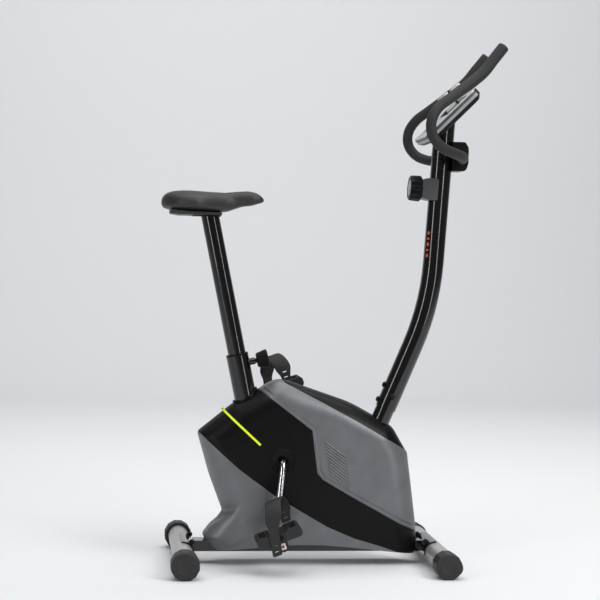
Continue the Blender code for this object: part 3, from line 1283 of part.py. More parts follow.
def make_cable(centre, out):
    """The tension cable: from the knob's housing down inside the column and out to the magnet arm."""
    knots = [centre + out * 0.0420, centre + out * 0.026, centre + out * 0.010 - Z_AXIS * 0.012]
    knots += [on_high_line(z) + out * 0.002 for z in (0.87, 0.80)]
    knots += column_path()[7:2:-2]
    knots += [on_low_line(z) for z in (0.44, 0.36, 0.30)]
    window = on_low_line(0.262)
    knots += [window + Vector((0.002, 0.006, 0.012)), window + Vector((-0.006, 0.0265, 0.0))]
    arm_end = FLYWHEEL_CENTRE + Vector((math.cos(math.radians(132)), 0, math.sin(math.radians(132)))) * 0.128
    knots += [Vector(((window.x + arm_end.x) / 2 - 0.004, 0.027, 0.272)), Vector((arm_end.x - 0.004, 0.0285, arm_end.z + 0.004))]
    cable = bpy.data.curves.new("tension_cable", "CURVE")
    cable.dimensions = "3D"
    cable.bevel_depth = 0.0022
    cable.bevel_resolution = 1
    cable.use_fill_caps = True
    path = smooth_path(knots, 0.022)
    spline = cable.splines.new("POLY")
    spline.points.add(len(path) - 1)
    for point, place in zip(spline.points, path):
        point.co = (*place, 1.0)
    cable.materials.append(finish_name("tension_cable", *RUBBER))
    obj = bpy.data.objects.new("tension_cable", cable)
    bpy.context.scene.collection.objects.link(obj)


# ---------------------------------------------------------------- console
def console_matrix():
    """Console space: X up along the face, Y across, Z out of the face towards the rider."""
    face_up = Vector((math.cos(CONSOLE_TILT), 0, math.sin(CONSOLE_TILT)))
    out = Vector((-math.sin(CONSOLE_TILT), 0, math.cos(CONSOLE_TILT)))
    basis = Matrix((face_up, Y_AXIS, out)).transposed().to_4x4()
    return Matrix.Translation(CONSOLE_FOOT) @ basis


def rounded_slab(half_width, x_low, x_high, z_low, z_high, radius, matrix, inset=0.0):
    """A slab with round corners in plan; inset draws its far face in."""
    corners = [(x_low, -half_width, radius), (x_low, half_width, radius), (x_high, half_width, radius), (x_high, -half_width, radius)]
    outline = rounded_outline(corners, 30.0)
    middle = ((x_low + x_high) / 2, 0.0)
    rings = []
    for z, draw in ((z_low, inset), (z_high, 0.0)):
        shrink = 1 - draw / half_width
        rings.append([
            matrix @ Vector((middle[0] + (x - middle[0]) * shrink, y * shrink, z)) for x, y in outline
        ])
    return join_rings(rings)


def make_console():
    to_world = console_matrix()
    depth = CONSOLE_BACK_THICK + CONSOLE_FACE_THICK
    split = -CONSOLE_FACE_THICK - GAP
    half = CONSOLE_HALF_WIDTH
    back = rounded_slab(half - 0.001, 0.001, CONSOLE_LENGTH - 0.001, -depth, split, 0.020, to_world, 0.009)
    make("console_back", *back, GREY_PLASTIC)
    face = make(
        "console_face",
        *rounded_slab(half, 0.0, CONSOLE_LENGTH, -CONSOLE_FACE_THICK, 0.0, 0.021, to_world),
        GREY_PLASTIC,
    )
    window = block((0.078, -0.062, -0.0035), (0.150, 0.062, 0.01), to_world)
    combine(face, cutter("window", *window))
    lens = rounded_slab(0.0617, 0.0783, 0.1497, -0.0032, 0.0006, 0.003, to_world)
    make("display_lens", *lens, ("#1a2322", 0.10, 0.0))
    for k, y in enumerate((-0.040, 0.0, 0.040)):
        centre = to_world @ Vector((0.038, y, -0.006))
        out = (to_world.to_3x3() @ Z_AXIS).normalized()
        combine(face, cutter("button_well", *rod(centre, out, 0.02, around(0.0095, 16), 16)))
        profile = [(GAP + 0.0012, 0.0091), (0.0068, 0.0091), (0.0078, 0.0078)]
        make(f"console_button_{k + 1}", *turned(centre, out, profile, 16), GREY_PLASTIC)


clear_scene()
make_main_frame()
make_feet()
make_foot_bolts()
make_column()
make_column_bolts()
make_shroud()
make_crank()
make_pulleys()
make_belt_and_idler()
make_magnet_arm()
make_pedals()
make_seat()
make_handlebar()
make_clamp()
make_tension_control()
make_console()
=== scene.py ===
# Looks for an upright exercise bike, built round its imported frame.
# Metres, +Z up. The rider faces +X, and "right" is the rider's right, -Y.

import json
import math

import bmesh
import bpy
import numpy as np
from mathutils import Matrix, Vector
from mathutils.geometry import delaunay_2d_cdt

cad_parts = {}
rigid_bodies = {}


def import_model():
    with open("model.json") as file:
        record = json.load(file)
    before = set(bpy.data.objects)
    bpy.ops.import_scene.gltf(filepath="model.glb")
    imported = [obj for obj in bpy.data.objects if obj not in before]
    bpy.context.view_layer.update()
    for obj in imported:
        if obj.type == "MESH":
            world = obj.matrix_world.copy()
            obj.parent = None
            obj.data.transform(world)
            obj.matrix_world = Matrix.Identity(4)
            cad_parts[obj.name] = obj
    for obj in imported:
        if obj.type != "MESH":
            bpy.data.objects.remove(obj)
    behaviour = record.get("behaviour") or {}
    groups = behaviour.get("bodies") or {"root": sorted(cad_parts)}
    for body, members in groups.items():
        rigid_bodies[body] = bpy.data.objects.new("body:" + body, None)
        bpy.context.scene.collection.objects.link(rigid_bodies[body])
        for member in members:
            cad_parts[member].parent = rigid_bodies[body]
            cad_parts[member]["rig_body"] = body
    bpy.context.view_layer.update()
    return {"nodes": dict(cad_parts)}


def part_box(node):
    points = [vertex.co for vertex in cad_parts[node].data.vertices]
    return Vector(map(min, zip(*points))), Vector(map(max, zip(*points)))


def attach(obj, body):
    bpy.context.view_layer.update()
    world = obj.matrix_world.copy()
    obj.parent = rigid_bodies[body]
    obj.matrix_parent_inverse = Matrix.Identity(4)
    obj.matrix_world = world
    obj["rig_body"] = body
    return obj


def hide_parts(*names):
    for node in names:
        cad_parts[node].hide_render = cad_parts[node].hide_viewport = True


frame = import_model()
nodes = frame["nodes"]
mm = 0.001
xAxis, yAxis, zAxis = Vector((1, 0, 0)), Vector((0, 1, 0)), Vector((0, 0, 1))
sides = (("right", "Right", -1.0), ("left", "Left", 1.0))
print("frame loaded:", len(nodes), "nodes")


def toLinear(hexColour):
    channels = [int(hexColour[i : i + 2], 16) / 255 for i in (1, 3, 5)]
    linear = [c / 12.92 if c < 0.04045 else ((c + 0.055) / 1.055) ** 2.4 for c in channels]
    return (*linear, 1.0)


def addNode(tree, kind, settings=None, links=None):
    node = tree.nodes.new("ShaderNode" + kind)
    for key, value in (settings or {}).items():
        if isinstance(key, str) and hasattr(node, key):
            setattr(node, key, value)
        else:
            node.inputs[key].default_value = value
    for key, socket in (links or {}).items():
        tree.links.new(socket, node.inputs[key])
    return node


# Every finish on the bike. "colour" and "second" are the two ends of its own slight variation. "grain" is the
# size of the surface's texture and "relief" its height, both in mm. Grains under about 1 mm are drawn at
# 1 to 3 mm, because a finer one would not show on the whole bike. "gloss" is how strongly it mirrors light.
finishes = {
    # Powder-coated steel tube, high gloss: sharp streaks of light with a trace of orange peel.
    "powderCoat": dict(colour="#070708", second="#0c0c0d", rough=(0.10, 0.16),
                       grain=3.0, relief=0.001, coat=0.25),
    # Spark-textured ABS, injection moulded: deep black that goes soft grey where light rakes along it.
    "texturedAbs": dict(colour="#080809", second="#0d0d0e", rough=(0.32, 0.42),
                        grain=1.2, relief=0.02, gloss=0.16),
    # Metallic-effect ABS: grey with a low silky sheen and a faint flake.
    "metallicAbs": dict(colour="#626466", second="#75777a", rough=(0.36, 0.46),
                        grain=1.0, relief=0.008, metal=0.35),
    # Polypropylene end caps: dull charcoal, slightly chalky.
    "capPolypropylene": dict(colour="#1c1c1d", second="#262627", rough=(0.50, 0.66),
                             grain=1.4, relief=0.06),
    # Silver stoving enamel on steel tube: pale, satin, with a fine metal flake.
    "silverEnamel": dict(colour="#a3a3a0", second="#b4b4b1", rough=(0.30, 0.40),
                         grain=1.1, relief=0.005, metal=0.45),
    # Chromium plate on a forged bar: a mirror with the slightest polish haze.
    "chromePlate": dict(colour="#c9cacc", second="#d8d9da", rough=(0.04, 0.09),
                        grain=4.0, relief=0.001, metal=1.0),
    # Bright zinc plate on turned steel: cool grey with lathe lines.
    "zincPlate": dict(colour="#8d9092", second="#b0b3b5", rough=(0.24, 0.42),
                      grain=1.0, relief=0.04, metal=1.0, stretch=(1.0, 6.0, 6.0)),
    # Stainless sheet, brushed: long fine scratches that widen its highlight.
    "brushedStainless": dict(colour="#b3b4b3", second="#cccdcc", rough=(0.22, 0.40),
                             grain=1.5, relief=0.03, metal=1.0, stretch=(0.3, 6.0, 1.5)),
    # Black-oxide screws: dark steel with an oily sheen.
    "blackOxide": dict(colour="#151516", second="#232324", rough=(0.28, 0.42),
                       grain=1.0, relief=0.03, metal=0.8),
    # Grey cast iron, skimmed: machine marks and a coarse dull grain.
    "castIron": dict(colour="#3c3d3e", second="#56585a", rough=(0.40, 0.60),
                     grain=1.5, relief=0.08, metal=1.0),
    # Glass-filled nylon: off-black, dry looking.
    "blackNylon": dict(colour="#101011", second="#181819", rough=(0.46, 0.58), grain=1.2, relief=0.05),
    # Moulded rubber: matt black that never catches a sharp light.
    "mouldedRubber": dict(colour="#151515", second="#212121", rough=(0.55, 0.72), grain=1.5, relief=0.10),
    # Nitrile foam sleeve: open cells, soft and light-drinking.
    "gripFoam": dict(colour="#161617", second="#202021", rough=(0.60, 0.78),
                     grain=1.8, relief=0.12, pattern="cells", sheen=0.03),
    # Leather-grain PVC over foam: small pebbles, a low broad highlight.
    "grainedVinyl": dict(colour="#1e1e1e", second="#272726", rough=(0.46, 0.60),
                         grain=2.4, relief=0.08, pattern="cells", sheen=0.03),
    # Fluorescent vinyl tape: a flat acid yellow-green line, with a painted glow: it gives off a little light of
    # its own colour.
    "limeTape": dict(colour="#cfe01c", second="#dcea30", rough=(0.40, 0.52),
                     grain=2.0, relief=0.01, glow=0.18),
    # Orange screen print, matt.
    "orangePrint": dict(colour="#c8502a", second="#d65f34", rough=(0.50, 0.60), grain=1.5, relief=0.01),
    # Paper label under clear film.
    "whiteLabel": dict(colour="#cfcfcb", second="#deded9", rough=(0.30, 0.40), grain=3.0, relief=0.01),
    "redLabel": dict(colour="#a8323a", second="#b53d44", rough=(0.30, 0.40), grain=3.0, relief=0.01),
    # Console plastics: frosted silver on the face, slate and pale grey in the bands, knob disc and keys.
    "frostedAbs": dict(colour="#b4b7b8", second="#c6c9ca", rough=(0.28, 0.38),
                       grain=1.2, relief=0.02, metal=0.2),
    "slateAbs": dict(colour="#37393b", second="#434548", rough=(0.36, 0.48), grain=1.2, relief=0.04),
    "paleGreyAbs": dict(colour="#8b8d8e", second="#999b9c", rough=(0.34, 0.46), grain=1.2, relief=0.04),
    # Acrylic window over an unlit liquid-crystal panel: grey-green depth under a hard gloss.
    "displayAcrylic": dict(colour="#232c29", second="#2c3632", rough=(0.04, 0.08),
                           grain=6.0, relief=0.005, coat=1.0),
}
varietySpan = 45.0  # mm over which a finish drifts from its first colour to its second
materials = {}


def makeMaterial(name, facts):
    material = bpy.data.materials.new(name)
    material.use_nodes = True
    tree = material.node_tree
    shader = tree.nodes["Principled BSDF"]
    place = addNode(tree, "TexCoord").outputs["Object"]
    if "stretch" in facts:
        place = addNode(tree, "Mapping", {"Scale": facts["stretch"]}, {"Vector": place}).outputs["Vector"]
    perMetre = 1000.0 / facts["grain"]
    if facts.get("pattern") == "cells":
        settings = {"feature": "SMOOTH_F1", "Scale": perMetre, "Smoothness": 0.35}
        cells = addNode(tree, "TexVoronoi", settings, {"Vector": place})
        grain = cells.outputs["Distance"]
    else:
        settings = {"Scale": perMetre, "Detail": 3.0, "Roughness": 0.55}
        noise = addNode(tree, "TexNoise", settings, {"Vector": place})
        grain = noise.outputs["Fac"]
    drift = addNode(tree, "TexNoise", {"Scale": 1000.0 / varietySpan, "Detail": 2.0}, {"Vector": place})
    both = addNode(tree, "Math", {"operation": "ADD"}, {0: drift.outputs["Fac"], 1: grain})
    share = addNode(tree, "MapRange", {"From Min": 0.6, "From Max": 1.4}, {"Value": both.outputs[0]})
    colour = addNode(
        tree, "Mix", {"data_type": "RGBA", 6: toLinear(facts["colour"]), 7: toLinear(facts["second"])},
        {0: share.outputs["Result"]},
    )
    tree.links.new(colour.outputs[2], shader.inputs["Base Color"])
    smoothest, roughest = facts["rough"]
    rough = addNode(
        tree, "MapRange", {"From Min": 0.25, "From Max": 0.75, "To Min": smoothest, "To Max": roughest},
        {"Value": grain},
    )
    tree.links.new(rough.outputs["Result"], shader.inputs["Roughness"])
    bump = addNode(tree, "Bump", {"Strength": 0.6, "Distance": facts["relief"] * mm}, {"Height": grain})
    tree.links.new(bump.outputs["Normal"], shader.inputs["Normal"])
    shader.inputs["Metallic"].default_value = facts.get("metal", 0.0)
    shader.inputs["Specular IOR Level"].default_value = facts.get("gloss", 0.5)
    shader.inputs["Coat Weight"].default_value = facts.get("coat", 0.0)
    shader.inputs["Coat Roughness"].default_value = 0.06
    shader.inputs["Sheen Weight"].default_value = facts.get("sheen", 0.0)
    shader.inputs["Sheen Roughness"].default_value = 0.5
    if "glow" in facts:  # painted glow: a little emitted light of the tape's own colour, standing in for its fluorescence
        shader.inputs["Emission Color"].default_value = toLinear(facts["colour"])
        shader.inputs["Emission Strength"].default_value = facts["glow"]
    return material


for finishName, finishFacts in finishes.items():
    materials[finishName] = makeMaterial(finishName, finishFacts)
print("finishes made:", len(materials))


def bodyOf(node):
    return nodes[node]["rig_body"]


def addPiece(name, verts, faces, finish, body, stands=(), sharpAbove=35.0, bevel=0.0):
    mesh = bpy.data.meshes.new(name)
    bm = bmesh.new()
    points = [bm.verts.new(v) for v in verts]
    for face in faces:
        bm.faces.new([points[i] for i in face])
    bmesh.ops.recalc_face_normals(bm, faces=bm.faces)
    if bm.calc_volume(signed=True) < 0:
        bmesh.ops.reverse_faces(bm, faces=bm.faces)
    bm.to_mesh(mesh)
    bm.free()
    mesh.shade_smooth()
    mesh.set_sharp_from_angle(angle=math.radians(sharpAbove))
    for word in [finish] if isinstance(finish, str) else finish:
        mesh.materials.append(materials[word])
    piece = bpy.data.objects.new(name, mesh)
    bpy.context.scene.collection.objects.link(piece)
    if bevel:
        soften(piece, bevel)
    if body:
        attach(piece, body)
    if stands:
        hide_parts(*stands)
    return piece


def soften(piece, width, fromAngle=30.0):
    edge = piece.modifiers.new("softEdges", "BEVEL")
    edge.width = width
    edge.segments = 3
    edge.limit_method = "ANGLE"
    edge.angle_limit = math.radians(fromAngle)
    edge.harden_normals = True


def camel(node):
    words = node.split("_")
    return words[0] + "".join(w.capitalize() for w in words[1:])


def cadShape(node):
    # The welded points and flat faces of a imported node.
    bm = bmesh.new()
    bm.from_mesh(nodes[node].data)
    bmesh.ops.remove_doubles(bm, verts=bm.verts, dist=0.003 * mm)
    bmesh.ops.dissolve_limit(bm, angle_limit=math.radians(0.6), verts=bm.verts, edges=bm.edges)
    bm.verts.index_update()
    verts = [v.co.copy() for v in bm.verts]
    faces = [[v.index for v in f.verts] for f in bm.faces]
    bm.free()
    return verts, faces


def refine(node, finish, bevel=0.6 * mm, sharpAbove=35.0):
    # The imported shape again, with softened edges.
    return addPiece(camel(node), *cadShape(node), finish, bodyOf(node), [node], sharpAbove, bevel)


def squareTo(direction, hint=yAxis):
    d = direction.normalized()
    first = hint - d * d.dot(hint)
    if first.length < 1e-6:
        first = zAxis - d * d.dot(zAxis)
    first.normalize()
    return first, d.cross(first)


def joinRings(rings):
    # A closed skin over rings of equal length, with a flat face on each end.
    count = len(rings[0])
    verts = [p for r in rings for p in r]
    faces = []
    for i in range(len(rings) - 1):
        a, b = i * count, (i + 1) * count
        for k in range(count):
            n = (k + 1) % count
            faces.append((a + k, a + n, b + n, b + k))
    faces.append(tuple(range(count)))
    faces.append(tuple((len(rings) - 1) * count + k for k in range(count)))
    return verts, faces


def gathered(shapes):
    # Several closed shapes as one list of points and faces.
    verts, faces = [], []
    for points, loops in shapes:
        faces += [tuple(i + len(verts) for i in loop) for loop in loops]
        verts += points
    return verts, faces


def turned(base, axis, profile, segments, wave=None):
    # profile is (distance along the axis, radius); wave(angle, distance) scales the radius.
    u, v = squareTo(axis, zAxis if abs(axis.normalized().z) < 0.9 else xAxis)
    d = axis.normalized()
    rings = []
    for along, radius in profile:
        ring = []
        for k in range(segments):
            a = 2 * math.pi * k / segments
            r = radius * (wave(a, along) if wave else 1.0)
            ring.append(base + d * along + (u * math.cos(a) + v * math.sin(a)) * r)
        rings.append(ring)
    return joinRings(rings)


def smoothPath(knots, step):
    # A Catmull-Rom curve through the knots, with a point about every step.
    ends = [knots[0] * 2 - knots[1], *knots, knots[-1] * 2 - knots[-2]]
    path = []
    for i in range(1, len(ends) - 2):
        p0, p1, p2, p3 = ends[i - 1 : i + 3]
        count = max(1, round((p2 - p1).length / step))
        for k in range(count):
            t = k / count
            bend = (2 * p0 - 5 * p1 + 4 * p2 - p3) * t**2 + (3 * p1 - p0 - 3 * p2 + p3) * t**3
            path.append(0.5 * (2 * p1 + (p2 - p0) * t + bend))
    path.append(knots[-1].copy())
    return path


def tangents(path):
    return [(path[min(i + 1, len(path) - 1)] - path[max(i - 1, 0)]).normalized() for i in range(len(path))]


def sweptRings(path, radii, segments):
    rings = []
    u = None
    for point, d, radius in zip(path, tangents(path), radii):
        u = squareTo(d, xAxis)[0] if u is None else (u - d * d.dot(u)).normalized()
        v = d.cross(u)
        angles = [2 * math.pi * k / segments for k in range(segments)]
        rings.append([point + (u * math.cos(a) + v * math.sin(a)) * radius for a in angles])
    return rings


def roundedOutline(corners, stepDegrees):
    # Corners are (x, z, radius).
    points = []
    for i, (x, z, radius) in enumerate(corners):
        here = Vector((x, z))
        before = (Vector(corners[i - 1][:2]) - here).normalized()
        after = (Vector(corners[(i + 1) % len(corners)][:2]) - here).normalized()
        half = before.angle(after) / 2
        reach = radius / math.tan(half)
        middle = here + (before + after).normalized() * (radius / math.sin(half))
        first, last = here + before * reach, here + after * reach
        a0 = math.atan2(first.y - middle.y, first.x - middle.x)
        a1 = math.atan2(last.y - middle.y, last.x - middle.x)
        sweep = (a1 - a0 + math.pi) % (2 * math.pi) - math.pi
        steps = max(1, math.ceil(abs(math.degrees(sweep)) / stepDegrees))
        for k in range(steps + 1):
            a = a0 + sweep * k / steps
            points.append((middle.x + radius * math.cos(a), middle.y + radius * math.sin(a)))
    return points


def carve(piece, verts, faces):
    # Cut a closed shape out of a piece, for good.
    tool = addPiece("carvingTool", verts, faces, "texturedAbs", None)
    cut = piece.modifiers.new("carve", "BOOLEAN")
    cut.solver = "EXACT"
    cut.object = tool
    graph = bpy.context.evaluated_depsgraph_get()
    result = bpy.data.meshes.new_from_object(piece.evaluated_get(graph))
    piece.modifiers.clear()
    result.name = piece.name
    piece.data = result
    bpy.data.objects.remove(tool)
    result.shade_smooth()
    result.set_sharp_from_angle(angle=math.radians(35.0))


# Shroud: the outline of its side (x, z, corner radius), the lines where its shells meet, and how it swells.
shroud = dict(
    closed=[(-0.3180, 0.3240, 0.012), (-0.2320, 0.3940, 0.120), (-0.1200, 0.4590, 0.060),
            (0.0600, 0.3990, 0.300), (0.1660, 0.3410, 0.060), (0.2030, 0.2780, 0.020), (0.2380, 0.0260, 0.006)],
    under=[(-0.0400, 0.0570, 0.900), (-0.2770, 0.0350, 0.008)],
    fin=[(-0.2990, 0.0680, 0.006), (-0.2530, 0.1300, 0.012), (-0.2880, 0.2210, 0.200)],
    upperEdge=[(-0.1720, 0.4330), (-0.0400, 0.3330), (-0.0260, 0.2290), (-0.0140, 0.2140), (0.0620, 0.1700),
               (0.1800, 0.1050), (0.2360, 0.0780)],
    spineEdge=[(-0.1180, 0.4620), (-0.1060, 0.4450), (-0.0080, 0.3960), (0.0760, 0.3520), (0.1620, 0.3030),
               (0.2080, 0.2740)],
    lowerEdge=[(-0.3240, 0.3320), (-0.2160, 0.2370), (-0.1340, 0.1770), (-0.0600, 0.1330), (0.0020, 0.0970),
               (0.0700, 0.0680), (0.1340, 0.0490), (0.2200, 0.0180)],
    edgeDepth=0.055,  # how far in from the outline the side has finished rounding over
    wall=2.5 * mm,
    jointGap=0.2 * mm,  # each shell draws back this far from a joint
    lipWidth=2.2 * mm,  # and rolls in over this width,
    lipDrop=0.7 * mm,  # by this much
    turns=12,  # rows of points round the swell
    step=6.0 * mm,
    fineStep=2.4 * mm,
)
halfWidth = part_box("shroud_left")[1].y


def shroudOutline():
    outline = np.array(roundedOutline(shroud["closed"] + shroud["under"] + shroud["fin"], 5.0))
    starts, ends = outline, np.roll(outline, -1, axis=0)
    middle = (starts + ends) / 2
    lowRear, lowFront = shroud["under"][-1][0] + 0.005, shroud["closed"][-1][0] - 0.008
    isUnder = (middle[:, 1] < 0.062) & (middle[:, 0] > lowRear) & (middle[:, 0] < lowFront)
    first = int(np.argmax(isUnder))
    last = len(isUnder) - 1 - int(np.argmax(isUnder[::-1]))
    skirt = np.array([starts[first] - (0.0, 0.2), ends[last] - (0.0, 0.2)])
    letDown = np.vstack([outline[: first + 1], skirt, outline[last + 1 :]])
    return outline, starts[~isUnder], ends[~isUnder], letDown


outline, closedStarts, closedEnds, letDown = shroudOutline()


def insideLoop(points, loop):
    x, z = points[:, 0:1], points[:, 1:2]
    a, b = loop, np.roll(loop, -1, axis=0)
    crosses = (a[:, 1] > z) != (b[:, 1] > z)
    rise = np.where(b[:, 1] == a[:, 1], 1.0, b[:, 1] - a[:, 1])
    at = a[:, 0] + (z - a[:, 1]) * (b[:, 0] - a[:, 0]) / rise
    return (crosses & (x < at)).sum(axis=1) % 2 == 1


def nearest(points, starts, ends):
    run = ends - starts
    to = points[:, None, :] - starts[None]
    t = np.clip((to * run).sum(-1) / np.maximum((run**2).sum(-1), 1e-14), 0, 1)
    return np.linalg.norm(to - t[..., None] * run, axis=-1).min(axis=1)


def depthAt(points):
    return np.where(insideLoop(points, letDown), 1.0, -1.0) * nearest(points, closedStarts, closedEnds)


def barrelAt(points):
    x, z = points[:, 0], points[:, 1]
    return halfWidth - 0.010 * ((z - 0.25) / 0.22) ** 2 - 0.004 * ((x + 0.03) / 0.25) ** 2


def skinAt(points):
    t = np.clip(depthAt(points) / shroud["edgeDepth"], 0.0, 1.0)
    return barrelAt(points) * np.sqrt(np.maximum(1 - (1 - t) ** 2, 0.0))


def skinNormal(points):
    step = 0.4 * mm
    depth = depthAt(points)
    slopes = [(depthAt(points + s) - depthAt(points - s)) / (2 * step) for s in ((step, 0.0), (0.0, step))]
    t = np.clip(depth / shroud["edgeDepth"], 0.0, 1.0)
    rounding = np.sqrt(np.maximum(1 - (1 - t) ** 2, 1e-12))
    rate = barrelAt(points) * (1 - t) / np.maximum(rounding, 1e-4) / shroud["edgeDepth"]
    normal = np.stack([-rate * slopes[0], np.ones(len(points)), -rate * slopes[1]], axis=1)
    normal[:, 1] = np.where(depth < 1e-5, 0.0, normal[:, 1])
    return normal / np.linalg.norm(normal, axis=1)[:, None]


def shifted(points, distance):
    moved = []
    for i, point in enumerate(points):
        a, b = Vector(points[max(i - 1, 0)]), Vector(points[min(i + 1, len(points) - 1)])
        d = (b - a).normalized()
        moved.append((point[0] - d.y * distance, point[1] + d.x * distance))
    return moved


def divided(points, step):
    out = [tuple(points[0])]
    for a, b in zip(points, points[1:]):
        count = max(1, math.ceil(math.hypot(b[0] - a[0], b[1] - a[1]) / step))
        dx, dz = b[0] - a[0], b[1] - a[1]
        out += [(a[0] + dx * k / count, a[1] + dz * k / count) for k in range(1, count + 1)]
    return out


def crossing(line, atEnd):
    # Where a joint line leaves the outline: (outline segment, point).
    a, b = (line[-2], line[-1]) if atEnd else (line[1], line[0])
    best = None
    for i in range(len(outline)):
        p, q = outline[i], outline[(i + 1) % len(outline)]
        denominator = (b[0] - a[0]) * (q[1] - p[1]) - (b[1] - a[1]) * (q[0] - p[0])
        if abs(denominator) < 1e-12:
            continue
        t = ((p[0] - a[0]) * (q[1] - p[1]) - (p[1] - a[1]) * (q[0] - p[0])) / denominator
        s = ((p[0] - a[0]) * (b[1] - a[1]) - (p[1] - a[1]) * (b[0] - a[0])) / denominator
        if 0 <= s <= 1 and 0 <= t <= 1.0 and (best is None or t < best[0]):
            best = (t, i, (a[0] + (b[0] - a[0]) * t, a[1] + (b[1] - a[1]) * t))
    return best[1], best[2]


def outlineBetween(start, end):
    (i, p), (j, q) = start, end
    points, k = [p], i
    while k != j:
        k = (k + 1) % len(outline)
        points.append(tuple(outline[k]))
    points.append(q)
    kept = [a for n, a in enumerate(points) if n == 0 or math.dist(a, points[n - 1]) > 0.3 * mm]
    return divided(kept, shroud["step"])


turnAngles = [math.pi / 2 * k / shroud["turns"] for k in range(1, shroud["turns"] + 1)]
ringDepths = [shroud["edgeDepth"] * (1 - math.cos(angle)) for angle in turnAngles]


def jointBetween(line, first, last):
    # A joint line cut off at the outline, with a point wherever it crosses a row of skin points.
    dense = divided([first[1], *line[1:-1], last[1]], 0.3 * mm)
    rows = np.searchsorted(ringDepths, depthAt(np.array(dense)))
    kept = [dense[0]]
    for i in range(1, len(dense) - 1):
        if rows[i] != rows[i - 1] or math.dist(dense[i], kept[-1]) > 0.5 * shroud["step"]:
            if math.dist(dense[i], kept[-1]) > 0.25 * mm:
                kept.append(dense[i])
    return [*kept, dense[-1]]


def fillPolygon(polygon, fineLines):
    loop = np.array(polygon)
    rows = []
    for depth in ringDepths:
        run = closedEnds - closedStarts
        length = np.linalg.norm(run, axis=1)
        for a, r, l in zip(closedStarts, run, length):
            if l < 1e-9:
                continue
            inward = np.array([-r[1], r[0]]) / l
            if not insideLoop((a + r / 2 + inward * 1e-4)[None], letDown)[0]:
                inward = -inward
            count = max(1, round(l / shroud["step"]))
            rows += [a + r * (k + 0.5) / count + inward * depth for k in range(count)]
    rows = np.array(rows)
    gap = np.min(np.abs(depthAt(rows)[:, None] - np.array(ringDepths)[None]), axis=1)
    rows = rows[gap < 0.12 * mm]
    step = shroud["step"]
    xs, zs = np.arange(-0.31, 0.24, step), np.arange(0.03, 0.46, step)
    grid = np.array([(x + (n % 2) * step / 2, z) for n, z in enumerate(zs) for x in xs])
    grid = grid[depthAt(grid) > shroud["edgeDepth"] * 1.04]
    cloud = [rows, grid]
    if fineLines:
        xs, zs = np.arange(-0.31, 0.24, shroud["fineStep"]), np.arange(0.03, 0.46, shroud["fineStep"])
        fine = np.array([(x + (n % 2) * shroud["fineStep"] / 2, z) for n, z in enumerate(zs) for x in xs])
        near = np.zeros(len(fine), bool)
        for line, reach in fineLines:
            line = np.array(line)
            near |= nearest(fine, line[:-1], line[1:]) < reach
        cloud = [fine[near & (depthAt(fine) > 1.0 * mm)], *cloud]
    cloud = np.vstack(cloud)
    cloud = cloud[insideLoop(cloud, loop) & (nearest(cloud, loop, np.roll(loop, -1, axis=0)) > 0.4 * mm)]
    taken, chosen = set(), []
    for x, z in cloud:
        cell = (round(x / (1.1 * mm)), round(z / (1.1 * mm)))
        if cell not in taken:
            taken.add(cell)
            chosen.append(Vector((x, z)))
    points = [Vector(p) for p in polygon] + chosen
    edges = [(k, (k + 1) % len(polygon)) for k in range(len(polygon))]
    found, _, triangles = delaunay_2d_cdt(points, edges, [], 1, 1e-7)[:3]
    return np.array([tuple(v) for v in found]), [tuple(t) for t in triangles]


def smoothStep(value, low, high):
    t = np.clip((value - low) / (high - low), 0.0, 1.0)
    return t * t * (3 - 2 * t)


def shellShape(polygon, joints, relief=None, fineLines=(), openSeam=False):
    flat, triangles = fillPolygon(polygon, fineLines)
    depth = depthAt(flat)
    height = skinAt(flat)
    normal = skinNormal(flat)
    toJoint = np.min([nearest(flat, np.array(j[:-1]), np.array(j[1:])) for j in joints], axis=0)
    sink = shroud["lipDrop"] * (1 - smoothStep(toJoint, 0.0, shroud["lipWidth"]))
    sink -= relief(flat) if relief else 0.0
    seamGap = 0.0 if openSeam else shroud["jointGap"]
    seam = depth < 2e-5
    height = np.where(seam, 0.0, height)
    outer = np.stack([flat[:, 0], height, flat[:, 1]], axis=1)
    outer -= normal * np.where(seam, 0.0, sink * smoothStep(depth, 0.0, 0.004))[:, None]
    outer[:, 1] = np.maximum(outer[:, 1], seamGap)
    outer[:, 1] = np.where(seam, seamGap, outer[:, 1])
    inner = outer - normal * shroud["wall"]
    inner[:, 1] = np.maximum(inner[:, 1], seamGap)
    count = len(flat)
    faces = list(triangles) + [tuple(i + count for i in reversed(t)) for t in triangles]
    used = {(a, b) for t in triangles for a, b in zip(t, t[1:] + t[:1])}
    for a, b in sorted(used):
        if (b, a) not in used and not (openSeam and seam[a] and seam[b]):
            faces.append((b, a, a + count, b + count))
    return np.vstack([outer, inner]), faces


# Raised field of the upper panel: a step that follows its rear edge, with a fine bead outside it.
upperField = dict(margin=8.5 * mm, rise=3.0 * mm, ramp=3.2 * mm, bead=1.3 * mm, beadAt=4.2 * mm,
                  beadWidth=1.8 * mm)
# The fin that sweeps back over the rear foot, and the crease below it.
finRidge = dict(start=(-0.1880, 0.1560), end=(-0.2960, 0.0750), height=7.0 * mm, above=6.0 * mm,
                below=42.0 * mm, hollow=2.0 * mm, hollowAt=15 * mm, hollowWidth=10 * mm)
finCrease = dict(start=(-0.1580, 0.0870), end=(-0.2460, 0.0500), height=1.3 * mm, reach=7.0 * mm)


def upperRelief(flat):
    line = np.array(shroud["upperEdge"])
    distance = nearest(flat, line[:-1], line[1:])
    margin, ramp = upperField["margin"], upperField["ramp"]
    fromBead = (distance - upperField["beadAt"]) / upperField["beadWidth"]
    step = upperField["rise"] * smoothStep(distance, margin, margin + ramp)
    return step + upperField["bead"] * np.exp(-(fromBead**2))


def alongAndAcross(flat, start, end):
    start, end = np.array(start), np.array(end)
    run = end - start
    length = np.linalg.norm(run)
    d = run / length
    to = flat - start
    return (to @ d) / length, to @ np.array([d[1], -d[0]])


